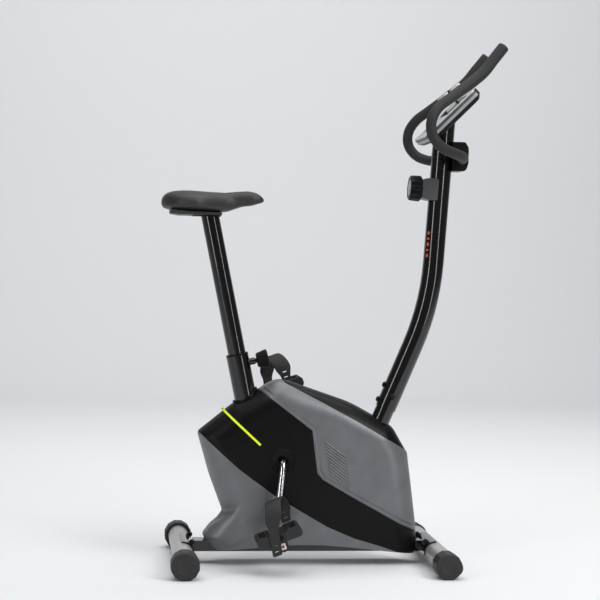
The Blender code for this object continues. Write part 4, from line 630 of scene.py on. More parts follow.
def lowerRelief(flat):
    along, across = alongAndAcross(flat, finRidge["start"], finRidge["end"])
    grow = smoothStep(along, 0.0, 0.75) * (1 - smoothStep(along, 1.0, 1.12))
    ridge = np.exp(-((across / np.where(across < 0, finRidge["below"], finRidge["above"])) ** 2))
    valley = np.exp(-(((across - finRidge["hollowAt"]) / finRidge["hollowWidth"]) ** 2))
    height = grow * (finRidge["height"] * ridge - finRidge["hollow"] * valley)
    along, across = alongAndAcross(flat, finCrease["start"], finCrease["end"])
    grow = smoothStep(along, 0.0, 0.6) * (1 - smoothStep(along, 1.0, 1.15))
    return height + finCrease["height"] * grow * np.exp(-((across / finCrease["reach"]) ** 2))


def ends(line):
    return crossing(line, False), crossing(line, True)


def shellPolygons():
    # The outline of each shell on the side view: upper panel, spine, black band, lower panel.
    gap = shroud["jointGap"]
    panelRear, bandFront = shifted(shroud["upperEdge"], gap), shifted(shroud["upperEdge"], -gap)
    spineUnder, panelTop = shifted(shroud["spineEdge"], gap), shifted(shroud["spineEdge"], -gap)
    bandUnder, lowerTop = shifted(shroud["lowerEdge"], gap), shifted(shroud["lowerEdge"], -gap)
    rearA, rearB = ends(panelRear)
    topA, topB = ends(panelTop)
    panel = outlineBetween(rearA, topA) + jointBetween(panelTop, topA, topB)[1:]
    panel += outlineBetween(topB, rearB)[1:] + jointBetween(panelRear, rearA, rearB)[::-1][1:-1]
    spineA, spineB = ends(spineUnder)
    spine = outlineBetween(spineA, spineB) + jointBetween(spineUnder, spineA, spineB)[::-1][1:-1]
    frontA, frontB = ends(bandFront)
    underA, underB = ends(bandUnder)
    band = outlineBetween(underA, frontA) + jointBetween(bandFront, frontA, frontB)[1:]
    band += outlineBetween(frontB, underB)[1:] + jointBetween(bandUnder, underA, underB)[::-1][1:-1]
    lowerA, lowerB = ends(lowerTop)
    lower = outlineBetween(lowerB, lowerA) + jointBetween(lowerTop, lowerA, lowerB)[1:-1]
    return panel, spine, band, lower


def beamShape():
    # The space of the floor beam, which the lower shells are cut round.
    points = [(x, y, z) for x in (-0.42, 0.42) for y in (-0.0255, 0.0255) for z in (-0.01, 0.0585)]
    return points, [(0, 1, 3, 2), (4, 6, 7, 5), (0, 4, 5, 1), (2, 3, 7, 6), (0, 2, 6, 4), (1, 5, 7, 3)]


seatTilt = math.radians(12.0)
seatUp = Vector((-math.sin(seatTilt), 0, math.cos(seatTilt)))
seatForward = Vector((math.cos(seatTilt), 0, math.sin(seatTilt)))
sleeveTop = Vector((-0.2222, 0, 0.511))
crankCentre = Vector((-0.112, 0, 0.259))
columnLean = math.radians(22.6)
columnFoot, columnFootUp = Vector((0.157, 0, 0.402)), Vector((math.sin(columnLean), 0, math.cos(columnLean)))
clearance = dict(sleeve=0.0281, crank=0.0300, column=0.0248)  # radii of the holes in the shells


def rod(base, axis, length, radius):
    return turned(base, axis, [(0, radius), (length, radius)], 64)


def makeShroud():
    panel, spine, band, lower = shellPolygons()
    upper, top, low = shroud["upperEdge"], shroud["spineEdge"], shroud["lowerEdge"]
    lowerLines = [((facts["start"], facts["end"]), reach)
                  for facts, reach in ((finRidge, 26 * mm), (finCrease, 12 * mm))]
    shapes = {
        "upper_panel": ("metallicAbs", shellShape(panel, [upper, top], upperRelief, [(upper, 16 * mm)])),
        "lower_panel": ("metallicAbs", shellShape(lower, [low], lowerRelief, lowerLines)),
        "shroud": ("texturedAbs", shellShape(band, [upper, low])),
    }
    for stem, (finish, (points, faces)) in shapes.items():
        for word, side, sign in sides:
            placed = [Vector(p) for p in points * (1.0, sign, 1.0)]
            piece = addPiece(camel(stem) + side, placed, faces, finish, "frame", [f"{stem}_{word}"], 40.0)
            if stem != "upper_panel":
                carve(piece, *beamShape())
            if stem == "shroud":
                carve(piece, *rod(sleeveTop - seatUp * 0.4, seatUp, 0.5, clearance["sleeve"]))
                carve(piece, *rod(crankCentre - yAxis * 0.1, yAxis, 0.2, clearance["crank"]))
    # The spine is one shell over both sides, joined along the middle.
    points, faces = shellShape(spine, [top], openSeam=True)
    count = len(points)
    both = [Vector(p) for p in np.vstack([points, points * (1.0, -1.0, 1.0)])]
    flipped = [tuple(i + count for i in reversed(f)) for f in faces]
    piece = addPiece("topSpine", both, list(faces) + flipped, "texturedAbs", "frame", ["top_spine"], 40.0)
    bm = bmesh.new()
    bm.from_mesh(piece.data)
    bmesh.ops.remove_doubles(bm, verts=bm.verts, dist=0.002 * mm)
    bmesh.ops.recalc_face_normals(bm, faces=bm.faces)
    bm.to_mesh(piece.data)
    bm.free()
    carve(piece, *rod(columnFoot - columnFootUp * 0.16, columnFootUp, 0.5, clearance["column"]))
    print("shroud shells made")


def onSkin(x, z, lift=0.0):
    # The place and the normal on the left side's skin.
    point = np.array([[x, z]])
    normal = Vector(skinNormal(point)[0])
    return Vector((x, skinAt(point)[0], z)) + normal * lift, normal


def mirrored(points, sign):
    return [Vector((p.x, p.y * sign, p.z)) for p in points]


# Ten slats let into the upper panel. Each is a half-round rib: first and last give their ends.
slatRibs = dict(first=((-0.0120, 0.3090), (0.0460, 0.2670)), last=((0.0020, 0.2320), (0.0560, 0.1910)),
                count=10, width=5.0 * mm, rise=2.4 * mm, sunk=0.4 * mm)


def makeSlats():
    first, last = slatRibs["first"], slatRibs["last"]
    for _, side, sign in sides:
        shapes = []
        for n in range(slatRibs["count"]):
            share = n / (slatRibs["count"] - 1)
            a = [first[0][i] + (last[0][i] - first[0][i]) * share for i in (0, 1)]
            b = [first[1][i] + (last[1][i] - first[1][i]) * share for i in (0, 1)]
            rings = []
            for k in range(17):
                t = k / 16
                x, z = a[0] + (b[0] - a[0]) * t, a[1] + (b[1] - a[1]) * t
                centre, normal = onSkin(x, z, upperField["rise"] - slatRibs["sunk"])
                fade = math.sqrt(max(0.02, 1 - (2 * t - 1) ** 8))
                d = Vector((b[0] - a[0], 0, b[1] - a[1])).normalized()
                over = d.cross(normal).normalized()
                rings.append([
                    centre + over * (slatRibs["width"] / 2 * math.cos(angle)) * fade
                    + normal * ((slatRibs["rise"] + slatRibs["sunk"]) * math.sin(angle) * fade)
                    for angle in [math.pi * j / 8 for j in range(9)]
                ])
            shapes.append(joinRings(rings))
        verts, faces = gathered(shapes)
        addPiece("panelSlats" + side, mirrored(verts, sign), faces, "metallicAbs", "frame")
    print("slats made")


stripe = dict(start=(-0.2580, 0.3810), end=(-0.1660, 0.2970), width=5.4 * mm, thick=0.35 * mm)
screwSpots = dict(
    places=[(-0.2560, 0.3560), (0.0460, 0.3800), (0.1960, 0.1700), (-0.2660, 0.0830), (-0.2440, 0.0580),
            (0.1780, 0.0470)],
    radius=4.2 * mm, proud=0.6 * mm,
)


def makeShroudTrim():
    a, b = Vector(stripe["start"]), Vector(stripe["end"])
    across = Vector((-(b - a).y, (b - a).x)).normalized() * stripe["width"] / 2
    for _, side, sign in sides:
        rings = []
        for k in range(41):
            middle = a + (b - a) * k / 40
            ring = []
            for lift in (stripe["thick"], -0.3 * mm):
                for s in ((-1, -0.33, 0.33, 1) if lift > 0 else (1, 0.33, -0.33, -1)):
                    p = middle + across * s
                    ring.append(onSkin(p.x, p.y, lift)[0])
            rings.append(ring)
        verts, faces = joinRings(rings)
        addPiece("limeStripe" + side, mirrored(verts, sign), faces, "limeTape", "frame")
        r, top = screwSpots["radius"], screwSpots["proud"]
        profile = [(-1.5 * mm, r), (top * 0.4, r), (top, r * 0.86), (top, r * 0.55), (-0.9 * mm, r * 0.42)]
        verts, faces = gathered([turned(*onSkin(x, z), profile, 24) for x, z in screwSpots["places"]])
        addPiece("shroudScrews" + side, mirrored(verts, sign), faces, "blackOxide", "frame")
    print("stripe and shroud screws made")


makeShroud()
makeSlats()
makeShroudTrim()


# Feet: satin silver tubes, twelve-sided end caps with a raised disc, and wheels in the front pair.
footCap = dict(disc=0.66, rise=0.7 * mm, edge=1.4 * mm)


def makeCapDisc(place, word, side, sign):
    low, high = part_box(f"{place}_foot_cap_{word}")
    tubeLow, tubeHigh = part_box(f"{place}_stabilizer")
    radius = (high.z - low.z) / 2
    outer = Vector(((tubeLow.x + tubeHigh.x) / 2, high.y if sign > 0 else low.y, (low.z + high.z) / 2))
    r = radius * footCap["disc"]
    rise = footCap["rise"]
    profile = [(-0.6 * mm, r), (rise * 0.3, r), (rise, r - 0.8 * mm), (rise, r - 2.4 * mm),
               (0.15 * mm, r - 3.2 * mm), (0.15 * mm, 3.0 * mm)]
    disc = turned(outer, Vector((0, sign, 0)), profile, 48)
    addPiece(f"{place}CapDisc{side}", *disc, "capPolypropylene", "frame")


for word, side, sign in sides:
    for place in ("rear", "front"):
        refine(f"{place}_foot_cap_{word}", "capPolypropylene", footCap["edge"], 25.0)
        makeCapDisc(place, word, side, sign)
    refine(f"transport_wheel_{word}", "blackNylon", 0.8 * mm)
    for place in ("rear", "front"):
        refine(f"{place}_foot_nut_{word}", "blackOxide", 0.7 * mm)
for place in ("rear", "front"):
    refine(f"{place}_stabilizer", "silverEnamel", 0.0)
print("feet made")


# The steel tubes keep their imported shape. The plastic rings and the screws get softened edges.
refine("main_frame", "powderCoat", 0.0)
refine("column", "powderCoat", 0.0)
refine("seat_post", "powderCoat", 0.0)
refine("seat_post_bushing", "texturedAbs", 0.5 * mm)
refine("seat_collar", "texturedAbs", 0.6 * mm)
for place in ("upper", "lower", "side"):
    refine(f"column_screw_{place}", "blackOxide", 0.6 * mm)

# Printed marks on the column: plain bars, no lettering.
columnMarks = dict(z=(0.764, 0.778, 0.792, 0.806, 0.820), height=(8.0, 5.0, 9.0, 6.0, 8.0),  # height in mm
                   width=7.0 * mm, turn=math.radians(36.0), thick=0.15 * mm)
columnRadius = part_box("column")[1].y
headTilt = math.radians(3.6)
headUp = Vector((math.sin(headTilt), 0, math.cos(headTilt)))
headBack = Vector((-math.cos(headTilt), 0, math.sin(headTilt)))
headMiddle = Vector((0.276, 0, 0.9525))


def headCentre(z):
    # The middle of the column's straight upper part at a height.
    return headMiddle + headUp * ((z - headMiddle.z) / headUp.z)


def makeColumnMarks():
    shapes = []
    for z, tall in zip(columnMarks["z"], columnMarks["height"]):
        centre, d, back = headCentre(z), headUp, headBack
        rings = []
        for k in range(7):
            t = k / 6 - 0.5
            angle = columnMarks["turn"] + t * columnMarks["width"] / columnRadius
            way = back * math.cos(angle) + yAxis * -math.sin(angle)
            half = tall * mm / 2 * math.sqrt(max(0.05, 1 - (2 * t) ** 6))
            low, high = columnRadius - 0.5 * mm, columnRadius + columnMarks["thick"]
            rings.append([centre + way * low - d * half, centre + way * high - d * half,
                          centre + way * high + d * half, centre + way * low + d * half])
        shapes.append(joinRings(rings))
    addPiece("columnMarks", *gathered(shapes), "orangePrint", "frame")


makeColumnMarks()
print("tubes made")


# Crank: chromium-plated bar; black dust discs sit in the shroud.
refine("crank", "chromePlate", 0.0)
for word, side, sign in sides:
    refine(f"crank_disc_{word}", "texturedAbs", 0.5 * mm)


# Pedals: a rubbered body with raised treads, and a ribbed strap with slotted ends.
pedal = dict(tilt=math.radians(20.0), width=0.088, halfThick=0.0125, treadRows=(0.0475, 0.0271),
             treadPitch=0.0105, treadHalf=(0.0022, 0.0042), treadRise=1.1 * mm)
sticker = dict(x=(-0.0065, 0.0070), z=(-0.0300, -0.0150), radius=0.0015)
stickerMark = dict(x=(-0.0030, 0.0036), z=(-0.0262, -0.0190), radius=0.0012)
strapSlot = dict(x=(-0.0050, 0.0050), z=(-0.0013, 0.0013), radius=0.0011, at=(0.010, 0.024))
strap = dict(
    thick=3.5 * mm, ribRise=0.7 * mm, ribPitch=4.2 * mm, step=1.05 * mm, lean=dict(right=0.004, left=-0.012),
    knots=[(-0.0230, 0.0, -0.038), (-0.0180, 0.0, -0.010), (-0.0150, 0.0, 0.012), (-0.0090, 0.001, 0.036),
           (0.0000, -0.006, 0.062)],
)
crankArm = dict(length=0.165, angle=math.radians(6.0), innerY=0.1165)


def pedalSpace(sign):
    angle, length = crankArm["angle"], crankArm["length"] * -sign
    down = Vector((-math.sin(angle), 0, -math.cos(angle)))
    place = crankCentre + down * length + yAxis * sign * crankArm["innerY"]
    mirror = Matrix.Diagonal((1, sign, 1, 1))
    return Matrix.Translation(place) @ Matrix.Rotation(-pedal["tilt"], 4, "Y") @ mirror


def plateOutline(facts):
    # A rectangle with rounded corners.
    (x0, x1), (z0, z1), r = facts["x"], facts["z"], facts["radius"]
    return roundedOutline([(x0, z0, r), (x0, z1, r), (x1, z1, r), (x1, z0, r)], 30.0)


def treadShape(space, x, y, face):
    # One raised block with cut corners, on the pedal's top (face 1) or its underside (-1).
    corners = ((-1, -0.8), (-0.8, -1), (0.8, -1), (1, -0.8), (1, 0.8), (0.8, 1), (-0.8, 1), (-1, 0.8))
    high, (halfX, halfY) = pedal["treadRise"], pedal["treadHalf"]
    z = face * pedal["halfThick"]
    rings = []
    for h, k in ((-0.4 * mm, 1.0), (high * 0.6, 0.94), (high, 0.72)):
        rings.append([space @ Vector((x + dx * halfX * k, y + halfY + dy * halfY * k, z + face * h))
                      for dx, dy in corners])
    return joinRings(rings)


def makePedal(word, side, sign):
    space = pedalSpace(sign)
    body = f"pedal_{word}"
    width = pedal["width"]
    refine(body, "mouldedRubber", 1.0 * mm, 30.0)
    places = np.arange(0.006, width - 0.010, pedal["treadPitch"])
    treads = [treadShape(space, end * row, y, face)
              for face in (1.0, -1.0) for end in (-1.0, 1.0) for row in pedal["treadRows"] for y in places]
    addPiece(f"pedalTreads{side}", *gathered(treads), "mouldedRubber", body)
    start = space @ Vector((0, width - 0.0005, 0))
    profile = [(0.0, 0.0085), (0.0022, 0.0085), (0.0030, 0.0077), (0.0030, 0.0040), (0.0012, 0.0034),
               (0.0012, 0.0012)]
    addPiece(f"pedalSpindleCap{side}", *turned(start, yAxis * sign, profile, 32), "blackOxide", body)
    # A plain sticker on the tab below the outer end, with a red mark on it.
    layers = (("Sticker", sticker, "whiteLabel", 0.0037), ("StickerMark", stickerMark, "redLabel", 0.0035))
    for name, facts, finish, inset in layers:
        rings = [[space @ Vector((x, y, z)) for x, z in plateOutline(facts)]
                 for y in (width - inset, width - inset + 0.0004)]
        addPiece(f"pedal{name}{side}", *joinRings(rings), finish, body)


def makeStrap(word, side, sign):
    space = pedalSpace(sign)
    thick, lean, width = strap["thick"], strap["lean"][word], pedal["width"]
    outerY, innerY = width + thick / 2 + 0.3 * mm, -thick / 2 - 0.3 * mm
    knots = [(x + lean, outerY + y, z) for x, y, z in strap["knots"]]
    knots += [(0.0080 + lean, width * 0.70, 0.080), (0.0180 + lean, width * 0.32, 0.079),
              (0.0265 + lean, innerY + 0.007, 0.060), (0.0285 + lean, innerY - 0.001, 0.036),
              (0.0270 + lean, innerY, 0.014)]
    path = smoothPath([Vector(k) for k in knots], strap["step"])
    rings, run = [], 0.0
    for i, (point, d) in enumerate(zip(path, tangents(path))):
        run += (path[i] - path[i - 1]).length if i else 0.0
        out = Vector((0, d.z, -d.y)).normalized()
        rise = min(1.0, max(0.0, (point.z - 0.022) / 0.030))
        wide = rise * rise * (3 - 2 * rise)
        half = 0.0120 + 0.0080 * wide
        end = min(i, len(path) - 1 - i) * strap["step"]
        half *= 1 - 0.22 * max(0.0, 1 - end / 0.004) ** 2
        rib = strap["ribRise"] * wide * (1.0 if (run / strap["ribPitch"]) % 1.0 < 0.55 else 0.0)
        edge = 1.0 * mm
        t = thick / 2
        section = [(-half, -t + edge), (-half + edge, -t), (half - edge, -t), (half, -t + edge),
                   (half, t - edge), (half - edge, t), (half * 0.80, t + rib), (-half * 0.80, t + rib),
                   (-half + edge, t), (-half, t - edge)]
        rings.append([space @ (point + xAxis * a + out * b) for a, b in section])
    piece = addPiece(f"pedalStrap{side}", *joinRings(rings), "mouldedRubber", f"pedal_{word}",
                     [f"pedal_strap_{word}"], 50.0)
    for at in strapSlot["at"]:
        for backwards in (False, True):
            walk = path[::-1] if backwards else path
            index = min(range(len(walk)), key=lambda i: abs(i * strap["step"] - at))
            centre, d = walk[index], (walk[index + 1] - walk[index - 1]).normalized()
            out = Vector((0, d.z, -d.y)).normalized()
            corners = plateOutline(strapSlot)
            rings = [[space @ (centre + xAxis * a + d * b + out * h) for a, b in corners]
                     for h in (-0.004, 0.004)]
            carve(piece, *joinRings(rings))


for word, side, sign in sides:
    makePedal(word, side, sign)
    makeStrap(word, side, sign)
print("crank and pedals made")


# Saddle: vinyl over foam. A lofted form is remeshed and blown up a little as cloth, its underside held still.
# "top" and "under" are its side view as (x, z), from tail to nose; "wing" and "nose" are half widths.
saddle = dict(
    voxel=5.0 * mm, shrink=1.0 * mm, pressure=4.0, frames=20, most=3.0 * mm, smoothing=2, heldBelow=-0.35,
    wing=0.0920, nose=0.0260, stations=49, around=40,
    top=[(-0.4160, 0.8860), (-0.4130, 0.8960), (-0.4070, 0.9030), (-0.3980, 0.9085), (-0.3850, 0.9120),
         (-0.3600, 0.9135), (-0.2760, 0.9095), (-0.2000, 0.9155), (-0.1830, 0.9125), (-0.1700, 0.9045),
         (-0.1600, 0.8940)],
    under=[(-0.4160, 0.8760), (-0.4090, 0.8690), (-0.3900, 0.8640), (-0.3450, 0.8612), (-0.2650, 0.8612),
           (-0.2060, 0.8770), (-0.1600, 0.8870)],
)


def heightAt(knots, x):
    # Long stretches ease in and out; short ones are straight.
    for (x0, z0), (x1, z1) in zip(knots, knots[1:]):
        if x <= x1:
            t = max(0.0, (x - x0) / (x1 - x0))
            return z0 + (z1 - z0) * (t * t * (3 - 2 * t) if x1 - x0 > 0.02 else t)
    return knots[-1][1]


def saddleHalfWidth(t):
    # Half the saddle's width, from tail (0) to nose (1): broad wings that sweep in to a narrow nose.
    if t < 0.30:
        return saddle["wing"] * math.sqrt(max(0.0, 1 - ((0.30 - t) / 0.302) ** 2))
    blend = (t - 0.30) / 0.70
    sweep = 0.5 + 0.5 * math.cos(math.pi * min(1.0, blend / 0.62))
    nose = saddle["nose"] * math.sqrt(max(0.0, 1 - max(0.0, (blend - 0.80) / 0.2002) ** 2))
    return max(nose, saddle["wing"] * sweep + nose * (1 - sweep))


def saddleShape():
    low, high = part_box("saddle")
    rings = []
    for k in range(saddle["stations"]):
        t = 0.5 - 0.5 * math.cos(math.pi * (0.02 + 0.96 * k / (saddle["stations"] - 1)))
        x = low.x + (high.x - low.x) * t
        half, top, under = saddleHalfWidth(t), heightAt(saddle["top"], x), heightAt(saddle["under"], x)
        ring = []
        for j in range(saddle["around"]):
            a = 2 * math.pi * j / saddle["around"]
            c, n = math.cos(a), math.sin(a)
            y = half * math.copysign(abs(c) ** 0.75, c)
            waist = under + (top - under) * 0.36
            z = waist + (top - waist) * n**0.80 if n >= 0 else waist - (waist - under) * (-n) ** 0.55
            ring.append(Vector((x, y, z)))
        rings.append(ring)
    return joinRings(rings)


def makeSaddle():
    low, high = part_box("saddle")
    verts, faces = saddleShape()
    piece = addPiece("saddleCover", verts, faces, "grainedVinyl", None, sharpAbove=180.0)
    remesh = piece.modifiers.new("even", "REMESH")
    remesh.mode = "VOXEL"
    remesh.voxel_size = saddle["voxel"]
    graph = bpy.context.evaluated_depsgraph_get()
    piece.data = bpy.data.meshes.new_from_object(piece.evaluated_get(graph))
    piece.modifiers.clear()
    mesh = piece.data
    bm = bmesh.new()
    bm.from_mesh(mesh)
    for _ in range(saddle["smoothing"]):
        bmesh.ops.smooth_vert(
            bm, verts=bm.verts, factor=0.5, use_axis_x=True, use_axis_y=True, use_axis_z=True
        )
    bm.normal_update()
    for v in bm.verts:
        v.co -= v.normal * saddle["shrink"] * max(0.0, v.normal.z)
    bm.to_mesh(mesh)
    bm.free()
    start = [v.co.copy() for v in mesh.vertices]
    held = piece.vertex_groups.new(name="heldToPan")
    for v in mesh.vertices:
        if v.normal.z < saddle["heldBelow"]:
            held.add([v.index], 1.0, "REPLACE")
    cloth = piece.modifiers.new("cloth", "CLOTH")
    cloth.settings.use_pressure = True
    cloth.settings.uniform_pressure_force = saddle["pressure"]
    cloth.settings.effector_weights.gravity = 0.0
    cloth.settings.vertex_group_mass = "heldToPan"
    for step in range(1, saddle["frames"] + 1):
        bpy.context.scene.frame_set(step)
    graph = bpy.context.evaluated_depsgraph_get()
    blown = bpy.data.meshes.new_from_object(piece.evaluated_get(graph))
    piece.modifiers.clear()
    for v, was in zip(blown.vertices, start):
        move = v.co - was
        if move.length > saddle["most"]:
            v.co = was + move.normalized() * saddle["most"]
    piece.data = blown
    bpy.context.scene.frame_set(1)
    mesh = piece.data
    mesh.shade_smooth()
    mesh.materials.clear()
    mesh.materials.append(materials["grainedVinyl"])
    for v in mesh.vertices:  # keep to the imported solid's box
        v.co.x = min(max(v.co.x, low.x - 2.0 * mm), high.x + 2.0 * mm)
        v.co.z = min(v.co.z, high.z + 3.0 * mm)
    smooth = piece.modifiers.new("rounder", "SUBSURF")
    smooth.levels = smooth.render_levels = 1
    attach(piece, "seat")
    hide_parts("saddle")
    refine("saddle_pan", "blackNylon", 1.2 * mm)
    print("saddle made")


makeSaddle()


# Seat knob: a ribbed grip on a black stud.
seatKnob = dict(ribs=18, ribDepth=0.045)


def makeSeatKnob():
    base = sleeveTop - seatUp * 0.0215 + seatForward * 0.0275
    stud = [(-0.0010, 0.0040), (0.0, 0.0058), (0.0035, 0.0058), (0.0040, 0.0050), (0.0048, 0.0058),
            (0.0170, 0.0058), (0.0174, 0.0040)]
    addPiece("seatKnobStud", *turned(base, seatForward, stud, 32), "blackOxide", "seat_knob")
    profile = [(0.0176, 0.0080), (0.0176, 0.0150), (0.0182, 0.0166), (0.0200, 0.0180), (0.0212, 0.0183)]
    profile += [(0.0212 + 0.0200 * k / 6, 0.0183 + 0.0046 * k / 6) for k in range(1, 7)]
    profile += [(0.0430, 0.0230), (0.0446, 0.0222), (0.0455, 0.0206), (0.0460, 0.0180), (0.0464, 0.0100),
                (0.0465, 0.0040)]

    def ribbed(angle, along):
        share = min(1.0, max(0.0, (along - 0.0190) / 0.002)) * min(1.0, max(0.0, (0.0450 - along) / 0.002))
        return 1.0 - seatKnob["ribDepth"] * share * (0.5 - 0.5 * math.cos(seatKnob["ribs"] * angle)) ** 3

    addPiece("seatKnobGrip", *turned(base, seatForward, profile, 216, ribbed), "texturedAbs", "seat_knob",
             ["seat_knob"], 60.0)


makeSeatKnob()


# Handlebar: foam sleeves swept along the bar, with a pair of pulse plates and a divider on each.
bar = dict(
    knots=[(0.3225, 0.036, 1.004), (0.3200, 0.066, 1.005), (0.3070, 0.104, 1.007), (0.2790, 0.139, 1.012),
           (0.2450, 0.162, 1.024), (0.2240, 0.171, 1.045), (0.2165, 0.173, 1.070), (0.2214, 0.170, 1.096),
           (0.2384, 0.160, 1.120), (0.2645, 0.147, 1.140), (0.2997, 0.130, 1.166), (0.3336, 0.116, 1.192),
           (0.3588, 0.107, 1.2145), (0.3810, 0.100, 1.243), (0.4060, 0.0945, 1.2745)],
    leftSet=(0.050, 0.033), thin=0.0126, thick=0.0142, tipRound=4.0 * mm, step=5.0 * mm,
)
plates = dict(first=(0.675, 0.738), second=(0.752, 0.815), divider=(0.741, 0.749), halfTurn=66.0,
              rise=1.1 * mm)


def barHalf(sign):
    ahead, down = bar["leftSet"] if sign > 0 else (0.0, 0.0)
    placed = [Vector((x + (y - 0.036) * ahead, sign * y, z - (y - 0.036) * down)) for x, y, z in bar["knots"]]
    return smoothPath(placed, bar["step"])


def foamRadius(share):
    t = min(1.0, max(0.0, (share - 0.58) / 0.22))
    return bar["thin"] + (bar["thick"] - bar["thin"]) * t * t * (3 - 2 * t)


def makeGrip(word, side, sign):
    path = barHalf(sign)
    shares = [i / (len(path) - 1) for i in range(len(path))]
    radii = [foamRadius(s) for s in shares]
    rings = sweptRings(path, radii, 32)
    tip = (path[-1] - path[-2]).normalized()
    edge = bar["tipRound"]
    end, rim = path[-1], rings[-1]
    for k in range(1, 6):
        a = math.pi / 2 * k / 5
        scale = (radii[-1] - edge * (1 - math.cos(a))) / radii[-1]
        rings.append([end + tip * (edge * math.sin(a)) + (p - end) * scale for p in rim])
    rings.append([end + tip * (edge + 0.0003) + (p - end) * 0.35 for p in rim])
    start = (path[0] - path[1]).normalized()
    lead = [[path[0] + start * 0.0004 + (p - path[0]) * k for p in rings[0]] for k in (0.80, 0.93)]
    piece = addPiece(f"foamGrip{side}", *joinRings(lead + rings), "gripFoam", "handlebar",
                     [f"foam_grip_{word}"], 60.0)
    dirs = tangents(path)
    inward = Vector((0, -sign, 0))

    def shoe(name, span, finish, rise, halfTurn):
        # One plate that wraps the inner side of the foam between two shares of the bar's length.
        fine = []
        for k in range(9):
            at = (span[0] + (span[1] - span[0]) * k / 8) * (len(path) - 1)
            i = min(int(at), len(path) - 2)
            f = at - i
            centre, d = path[i].lerp(path[i + 1], f), dirs[i].lerp(dirs[i + 1], f).normalized()
            fine.append((centre, d, at / (len(path) - 1)))
        rings = []
        for n, (centre, d, share) in enumerate(fine):
            u = (inward - d * d.dot(inward)).normalized()
            v = d.cross(u)
            low = foamRadius(share) - 0.3 * mm
            drop = 0.5 * mm if n in (0, len(fine) - 1) else 0.0
            angles = [math.radians(-halfTurn + 2 * halfTurn * k / 20) for k in range(21)]
            high = foamRadius(share) + rise - drop
            heights = [high - 0.5 * mm if k in (0, 20) else high for k in range(21)]
            top = [centre + (u * math.cos(a) + v * math.sin(a)) * h for a, h in zip(angles, heights)]
            under = [centre + (u * math.cos(a) + v * math.sin(a)) * low for a in reversed(angles)]
            rings.append(under + top)
        return addPiece(name, *joinRings(rings), finish, "handlebar", sharpAbove=40.0)

    rise, turn = plates["rise"], plates["halfTurn"]
    first = shoe(f"pulsePlateUpper{side}", plates["first"], "brushedStainless", rise, turn)
    shoe(f"pulsePlateLower{side}", plates["second"], "brushedStainless", rise, turn)
    shoe(f"pulseDivider{side}", plates["divider"], "texturedAbs", rise * 1.2, turn + 4)
    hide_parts(f"pulse_sensor_{word}")


for word, side, sign in sides:
    makeGrip(word, side, sign)
refine("handlebar", "powderCoat", 0.0)
refine("handlebar_clamp", "texturedAbs", 1.6 * mm)
print("handlebar made")


# Tension control: a scalloped knob with a pale disc, on a slate housing.
knob = dict(radius=0.032, lobes=12, scallop=0.075, disc=0.0195)


def makeTensionKnob():
    start = headCentre(0.928) + headBack * 0.0474
    r = knob["radius"]

    def scalloped(angle, along):
        wave = (0.5 - 0.5 * math.cos(knob["lobes"] * angle)) ** 1.6
        share = min(1.0, along / 0.002) * (1.0 if along < 0.0275 else max(0.0, (0.0300 - along) / 0.0025))
        return 1.0 - knob["scallop"] * wave * share

    profile = [(0.0, r * 0.55), (0.0, r * 0.90), (0.0008, r * 0.945), (0.0026, r * 0.995), (0.0040, r)]
    profile += [(0.0040 + 0.0200 * k / 5, r * (1.0 - 0.028 * k / 5)) for k in range(1, 6)]
    profile += [(0.0262, r * 0.955), (0.0280, r * 0.93), (0.0288, r * 0.89), (0.0290, r * 0.82),
                (0.0284, r * 0.70), (0.0276, r * 0.66), (0.0276, r * 0.10)]
    addPiece("tensionKnob", *turned(start, headBack, profile, 240, scalloped), "texturedAbs", "tension_knob",
             ["tension_knob"], 60.0)
    d = knob["disc"]
    profile = [(0.0270, d), (0.0284, d), (0.0289, d - 0.6 * mm), (0.0290, d * 0.5), (0.0290, 0.002)]
    addPiece("tensionKnobDisc", *turned(start, headBack, profile, 64), "paleGreyAbs", "tension_knob")
    refine("tension_knob_housing", "slateAbs", 1.4 * mm)


makeTensionKnob()


# Console: a dark shell, a banded side with a bright edge, a frosted face, an acrylic window and three keys.
console = dict(tilt=math.radians(45.0), foot=(0.222, 0.0, 1.055), length=0.175, halfWidth=0.086, rim=0.003,
               bands=((-0.0157, "slateAbs"), (-0.0085, "paleGreyAbs"), (-0.0074, "blackNylon"),
                      (-0.0016, "slateAbs"), (0.0100, "frostedAbs")))


def consoleSpace():
    faceUp = Vector((math.cos(console["tilt"]), 0, math.sin(console["tilt"])))
    out = Vector((-math.sin(console["tilt"]), 0, math.cos(console["tilt"])))
    basis = Matrix((faceUp, yAxis, out)).transposed().to_4x4()
    return Matrix.Translation(Vector(console["foot"])) @ basis


def makeConsole():
    space = consoleSpace()
    back = space.inverted()
    verts, faces = cadShape("console_face")
    words = [word for _, word in console["bands"]]
    piece = addPiece("consoleFace", verts, faces, words, "frame", ["console_face"], 35.0)
    bm = bmesh.new()
    bm.from_mesh(piece.data)
    for level, _ in console["bands"][:-1]:
        at = space @ Vector((0, 0, level))
        geometry = list(bm.verts) + list(bm.edges) + list(bm.faces)
        bmesh.ops.bisect_plane(bm, geom=geometry, plane_co=at, plane_no=space.to_3x3() @ zAxis)
    for face in bm.faces:
        middle = back @ face.calc_center_median()
        rim = console["rim"]
        inWell = abs(middle.y) < console["halfWidth"] - rim and rim < middle.x < console["length"] - rim
        index = next(i for i, (level, _) in enumerate(console["bands"]) if middle.z < level)
        face.material_index = 2 if inWell and middle.z < -0.0005 else index
    bm.to_mesh(piece.data)
    bm.free()
    piece.data.shade_smooth()
    piece.data.set_sharp_from_angle(angle=math.radians(35.0))
    soften(piece, 0.7 * mm, 40.0)
    refine("console_back", "texturedAbs", 2.5 * mm)
    refine("display_lens", "displayAcrylic", 0.3 * mm)
    for n in (1, 2, 3):
        refine(f"console_button_{n}", "paleGreyAbs", 0.6 * mm)
    print("console made")


